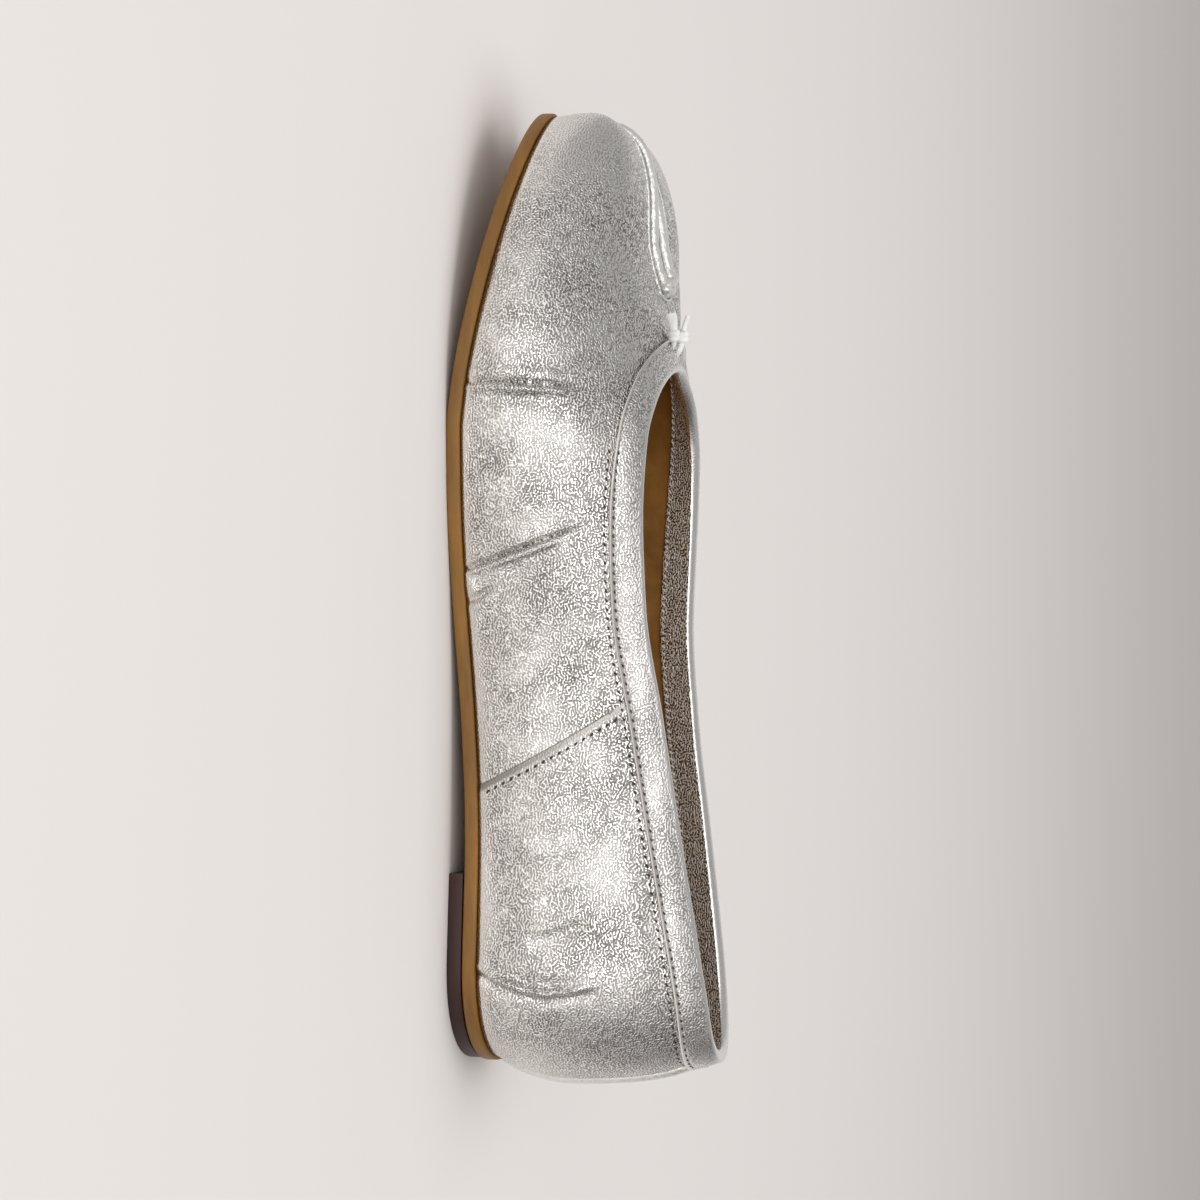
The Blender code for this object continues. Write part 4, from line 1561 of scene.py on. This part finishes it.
def make_stitching():
    """The sunk rows along the binding, the side seams and the welts, dark as painted shade of their holes,
    and the pale row inside the collar.
    """
    sizes = bpy.context.scene.flat_sizes
    colours = bpy.context.scene.flat_colours
    width = sizes.binding_width / MM
    pitch = sizes.stitch_pitch / MM
    stand = SEAT_GAP + BINDING_THICKNESS
    sunk = HOLE_LIFT - SEAM_GROOVE
    bm = bmesh.new()
    for down, offset in ((width - ROW_ABOVE, stand + sunk), (width + ROW_BELOW, sunk)):
        line, normals = strip_line(down, offset)
        seen = line[:, 0] < HOLES_END
        middle = len(line) // 2
        for half in (slice(0, middle), slice(middle, None)):
            picked = seen[half]
            add_stitches(bm, line[half][picked], normals[half][picked], pitch, HOLE_SIZE, HOLE_SLANT)
    for side in TIPS:
        line = wall_line(side, SEAM_STATION - SEAM_ROW, SEAM_COLUMNS)
        line = line[topline_distance(line[None])[0] > width + SEAM_CLEAR]
        seated, normals = on_skin(line, HOLE_LIFT)
        add_stitches(bm, seated, normals, pitch, HOLE_SIZE, SEAM_SLANT)
        points, _, ways = welt_line(side)
        out = sizes.welt_width / MM / 2 + WELT_HOLE_OUT
        row, normals = on_skin(points + ways * out, WELT_HOLE_LIFT)
        add_stitches(bm, smoothed(row), normals, WELT_PITCH, WELT_HOLE, SEAM_SLANT)
    # Their dark colour is painted shade of the holes that the thread sinks into
    thread = plain_leather("sunk stitches in painted hole shade", colours.thread, pore=0.3, depth=0.03, roughness=0.6)
    finish_piece("seam_stitches", bm, [thread])
    bm = bmesh.new()
    line, normals = strip_line(width - THREAD_ROW, -(WALL + stand))
    add_stitches(bm, line, -normals, pitch * THREAD_PITCH, THREAD_SIZE, THREAD_SLANT)
    pale = plain_leather("pale facing thread", colours.tie, pore=0.3, depth=0.03, roughness=0.5)
    finish_piece("facing_stitches", bm, [pale])


class FLAT_OT_stitching(bpy.types.Operator):
    """Makes the rows of stitches"""

    bl_idname = "flat.stitching"
    bl_label = "Stitching"

    def execute(self, context):
        make_stitching()
        return {"FINISHED"}


BACK_STRIP_WIDTH = 4.6
BACK_STRIP_RISE = 1.5
BACK_STRIP_COLUMNS = np.linspace(0.01, 0.9, 50)


def make_back_seam():
    """The raised strip over the seam up the middle of the heel's back."""
    line = wall_line(LATERAL, 0.0, BACK_STRIP_COLUMNS)
    line[:, 1] = 0
    bm = bmesh.new()
    back = np.tile((-1.0, 0.0, 0.0), (len(line), 1))
    add_tube(bm, line, back, BACK_STRIP_WIDTH / 2, BACK_STRIP_RISE, sides=16)
    close_seams(bm)
    finish_piece("back_strip", bm, [burnished_edge()])


class FLAT_OT_back_seam(bpy.types.Operator):
    """Makes the raised seam at the back"""

    bl_idname = "flat.back_seam"
    bl_label = "Back seam"

    def execute(self, context):
        make_back_seam()
        return {"FINISHED"}


# Knot: how far it is sunk and tilted, and the two coils of cord that make it
KNOT_SINK = 0.6
KNOT_TILT = 0.75
KNOT_RING = 0.8
KNOT_CORD = 1.0
KNOT_APART = 1.7
KNOT_TURNS = 1.6
RING_POINTS = 28

# Ends of the tie from each side of the knot: forward, across and up, then half width and half thickness
TAILS = {
    LATERAL: (
        (0.2, 0.3, 0.0, 0.9, 0.8),
        (1.8, 0.6, 0.2, 1.1, 0.7),
        (3.6, 0.8, 0.0, 1.3, 0.55),
        (5.4, 0.9, -0.4, 1.35, 0.5),
    ),
    MEDIAL: (
        (0.2, 0.0, 0.2, 0.8, 0.7),
        (1.8, -0.2, 0.5, 0.75, 0.6),
        (3.6, -0.6, 0.9, 0.7, 0.55),
        (5.3, -1.0, 1.4, 0.7, 0.5),
    ),
}

# Cord that is fed into the knot from the casing, in the same terms
FEEDS = {
    LATERAL: (
        (-0.4, 0.0, 0.0, 0.9, 0.7),
        (-1.6, -0.5, 0.1, 0.95, 0.7),
        (-2.8, -1.2, -0.2, 0.9, 0.6),
        (-4.0, -1.8, -1.0, 0.8, 0.5),
    ),
    MEDIAL: (
        (-0.4, 0.0, 0.0, 0.8, 0.7),
        (-1.8, 0.2, 0.0, 0.95, 0.8),
        (-3.4, 0.2, -0.4, 1.0, 0.75),
        (-5.2, 0.0, -1.4, 0.85, 0.6),
    ),
}

# Ways that the flat faces of the ends look
TAIL_FACES = {LATERAL: (0.0, 0.85, 0.5), MEDIAL: (0.0, 0.5, 0.85)}


def fine_course(rows, count=20):
    """A short table of rows as a smooth course."""
    rows = np.array(rows)
    knots = even(len(rows))
    table = Table(("s", "a", "b", "c", "d", "e"), np.column_stack([knots, rows]))
    return np.stack([table.at(name, even(count)) for name in "abcde"], axis=1)


def make_tie():
    """The drawstring's knot with the cord fed into it, and its two cut ends."""
    colours = bpy.context.scene.flat_colours
    cord = plain_leather("pale tie leather", colours.tie, pore=0.4, depth=0.04, roughness=0.45)
    binding = float(crest_height(LATERAL, KNOT_STATION)) + SEAT_GAP + BINDING_THICKNESS
    lift = binding + SEAT_GAP + KNOT_HEIGHT / 2 - KNOT_SINK
    centre = np.array((KNOT_STATION, KNOT_OFFSET, lift))
    knot = bmesh.new()
    angle = even(RING_POINTS) * 2 * np.pi * KNOT_TURNS
    outwards = np.stack([np.zeros(RING_POINTS), np.cos(angle), np.sin(angle)], axis=1)
    ring = outwards * KNOT_RING
    ring[:, 0] = np.linspace(-KNOT_CORD, KNOT_CORD, RING_POINTS)
    for side, name in SIDE_NAMES.items():
        middle = centre + side * np.array((0, KNOT_APART, -KNOT_TILT))
        add_tube(knot, middle + ring, outwards, KNOT_CORD, KNOT_CORD)
        course = fine_course(FEEDS[side])
        up = np.tile((0.0, 0.0, 1.0), (len(course), 1))
        add_tube(knot, middle + course[:, :3], up, course[:, 3], course[:, 4])
        course = fine_course(TAILS[side])
        face = np.tile(TAIL_FACES[side], (len(course), 1))
        end = bmesh.new()
        add_tube(end, middle + course[:, :3], face, course[:, 3], course[:, 4], cut=True)
        close_seams(end)
        finish_piece(f"tie_end_{name}_leather", end, [cord], [f"tie_end_{name}"])
    close_seams(knot)
    finish_piece("tie_knot_leather", knot, [cord], ["tie_knot"])


class FLAT_OT_tie(bpy.types.Operator):
    """Makes the drawstring's knot and its ends"""

    bl_idname = "flat.tie"
    bl_label = "Tie"

    def execute(self, context):
        make_tie()
        return {"FINISHED"}


# The photograph's view of the shoe: elevation and roll, distance and place, lens, and in metres its reach
VIEW_ELEVATION = 15.35
VIEW_ROLL = 1.3
VIEW_DISTANCE = 1000.0
VIEW_AIM = (104.2, 0.0, 0.0)
VIEW_ACROSS = -6.57
VIEW_CENTRE = (121.0, 4.0, 31.0)
VIEW_LENS = 117.0
VIEW_REACH = 20.0


def make_camera():
    """The camera at the photograph's angle to the shoe."""
    elevation = np.radians(VIEW_ELEVATION)
    roll = np.radians(VIEW_ROLL)
    back = np.array((0.0, np.cos(elevation), np.sin(elevation)))
    level_right = np.array((0.0, -np.sin(elevation), np.cos(elevation)))
    level_up = np.array((1.0, 0.0, 0.0))
    right = level_right * np.cos(roll) + level_up * np.sin(roll)
    up = level_up * np.cos(roll) - level_right * np.sin(roll)
    eye = Vector(placed(np.array(VIEW_AIM) + right * VIEW_ACROSS + back * VIEW_DISTANCE))
    aim = Vector(placed(VIEW_CENTRE))
    away = (eye - aim).normalized()
    side = Vector(up).cross(away).normalized()
    top = away.cross(side)
    camera = bpy.data.cameras.new("camera")
    camera.lens = VIEW_LENS
    camera.clip_end = VIEW_REACH
    obj = bpy.data.objects.new("camera", camera)
    obj.matrix_world = Matrix.Translation(eye) @ Matrix((side, top, away)).transposed().to_4x4()
    bpy.context.scene.collection.objects.link(obj)
    bpy.context.scene.camera = obj


# Soft boxes: place, what they face, size, brightness and whether the foil mirrors them
LIGHTS = {
    "key": ((140, 900, 350), (130, 20, 30), (700, 560), 1.2, True),
    "overhead": ((121, 0, 1500), (121, 0, 0), (1800, 1800), 1.5, False),
}

# Brighter and darker parts of the studio round the shoe: the way to each, its reach and its strength
STUDIO_LIGHT = 0.4
STUDIO_PARTS = (
    ((-0.05, 0.98, 0.15), 62, 0.75),
    ((-0.9, 0.3, 0.3), 50, -0.3),
    ((0.0, -1.0, 0.1), 60, 0.3),
)


def make_lights():
    """Soft boxes, and the studio that the foil mirrors."""
    colours = bpy.context.scene.flat_colours
    for name, (place, aim, size, brightness, mirrored) in LIGHTS.items():
        light = bpy.data.lights.new(name, "AREA")
        light.shape = "RECTANGLE"
        light.size, light.size_y = size[0] * MM, size[1] * MM
        light.energy = brightness * np.pi * light.size * light.size_y
        obj = bpy.data.objects.new(name, light)
        obj.location = placed(place)
        obj.visible_glossy = mirrored
        obj.rotation_mode = "QUATERNION"
        obj.rotation_quaternion = (Vector(placed(aim)) - obj.location).to_track_quat("-Z", "Y")
        bpy.context.scene.collection.objects.link(obj)
    world = bpy.data.worlds.new("studio")
    world.use_nodes = True
    way = add_node(world, "ShaderNodeTexCoord").outputs["Generated"]
    total = STUDIO_LIGHT
    for towards, reach, strength in STUDIO_PARTS:
        towards = tuple(Vector(towards).normalized())
        near = add_node(world, "ShaderNodeVectorMath", {0: way, 1: towards}, operation="DOT_PRODUCT")
        share = add_node(
            world,
            "ShaderNodeMapRange",
            {"Value": near.outputs["Value"], "From Min": np.cos(np.radians(reach)), "To Max": strength},
            interpolation_type="SMOOTHSTEP",
        )
        total = add_node(world, "ShaderNodeMath", {0: total, 1: share.outputs["Result"]}).outputs[0]
    background = world.node_tree.nodes["Background"]
    background.inputs["Color"].default_value = colours.studio
    world.node_tree.links.new(total, background.inputs["Strength"])
    bpy.context.scene.world = world


# Floor: its size in metres and its cells each way
FLOOR_SIZE = 20.0
FLOOR_CELLS = 8


def make_floor():
    """A wide sheet of pale paper under the shoe."""
    colours = bpy.context.scene.flat_colours
    bm = bmesh.new()
    bmesh.ops.create_grid(bm, x_segments=FLOOR_CELLS, y_segments=FLOOR_CELLS, size=FLOOR_SIZE / 2)
    mesh = bpy.data.meshes.new("floor")
    bm.to_mesh(mesh)
    bm.free()
    obj = bpy.data.objects.new("floor", mesh)
    bpy.context.scene.collection.objects.link(obj)
    material, shader = new_material("studio paper")
    shader.inputs["Base Color"].default_value = colours.floor
    shader.inputs["Roughness"].default_value = 0.9
    mesh.materials.append(material)


class FLAT_OT_stage(bpy.types.Operator):
    """Makes the floor, the lights and the camera"""

    bl_idname = "flat.stage"
    bl_label = "Stage"

    def execute(self, context):
        make_floor()
        make_lights()
        make_camera()
        context.scene.view_settings.view_transform = "Standard"
        return {"FINISHED"}


PIECE_OPERATORS = (
    FLAT_OT_stage,
    FLAT_OT_upper,
    FLAT_OT_sole,
    FLAT_OT_binding,
    FLAT_OT_welts,
    FLAT_OT_stitching,
    FLAT_OT_back_seam,
    FLAT_OT_tie,
)


class FLAT_PT_panel(bpy.types.Panel):
    """Lists the pieces of the flat and their sizes and colours"""

    bl_idname = "FLAT_PT_panel"
    bl_label = "Split-toe ballet flat"
    bl_space_type = "VIEW_3D"
    bl_region_type = "UI"
    bl_category = "Flat"

    def draw(self, context):
        for group in (context.scene.flat_sizes, context.scene.flat_colours):
            for name in group.__annotations__:
                self.layout.prop(group, name)
        for piece in PIECE_OPERATORS:
            self.layout.operator(piece.bl_idname)


CLASSES = (FlatSizes, FlatColours, *PIECE_OPERATORS, FLAT_PT_panel)


def register():
    """Registers the classes and gives the scene its sizes and colours."""
    for each in CLASSES:
        bpy.utils.register_class(each)
    bpy.types.Scene.flat_sizes = bpy.props.PointerProperty(type=FlatSizes)
    bpy.types.Scene.flat_colours = bpy.props.PointerProperty(type=FlatColours)


def unregister():
    """Takes the classes, sizes and colours away again."""
    del bpy.types.Scene.flat_colours
    del bpy.types.Scene.flat_sizes
    for each in reversed(CLASSES):
        bpy.utils.unregister_class(each)


def main():
    """Makes the stage and every piece."""
    register()
    bpy.ops.flat.stage()
    bpy.ops.flat.upper()
    bpy.ops.flat.sole()
    bpy.ops.flat.binding()
    bpy.ops.flat.welts()
    bpy.ops.flat.stitching()
    bpy.ops.flat.back_seam()
    bpy.ops.flat.tie()


if __name__ == "__main__":
    main()
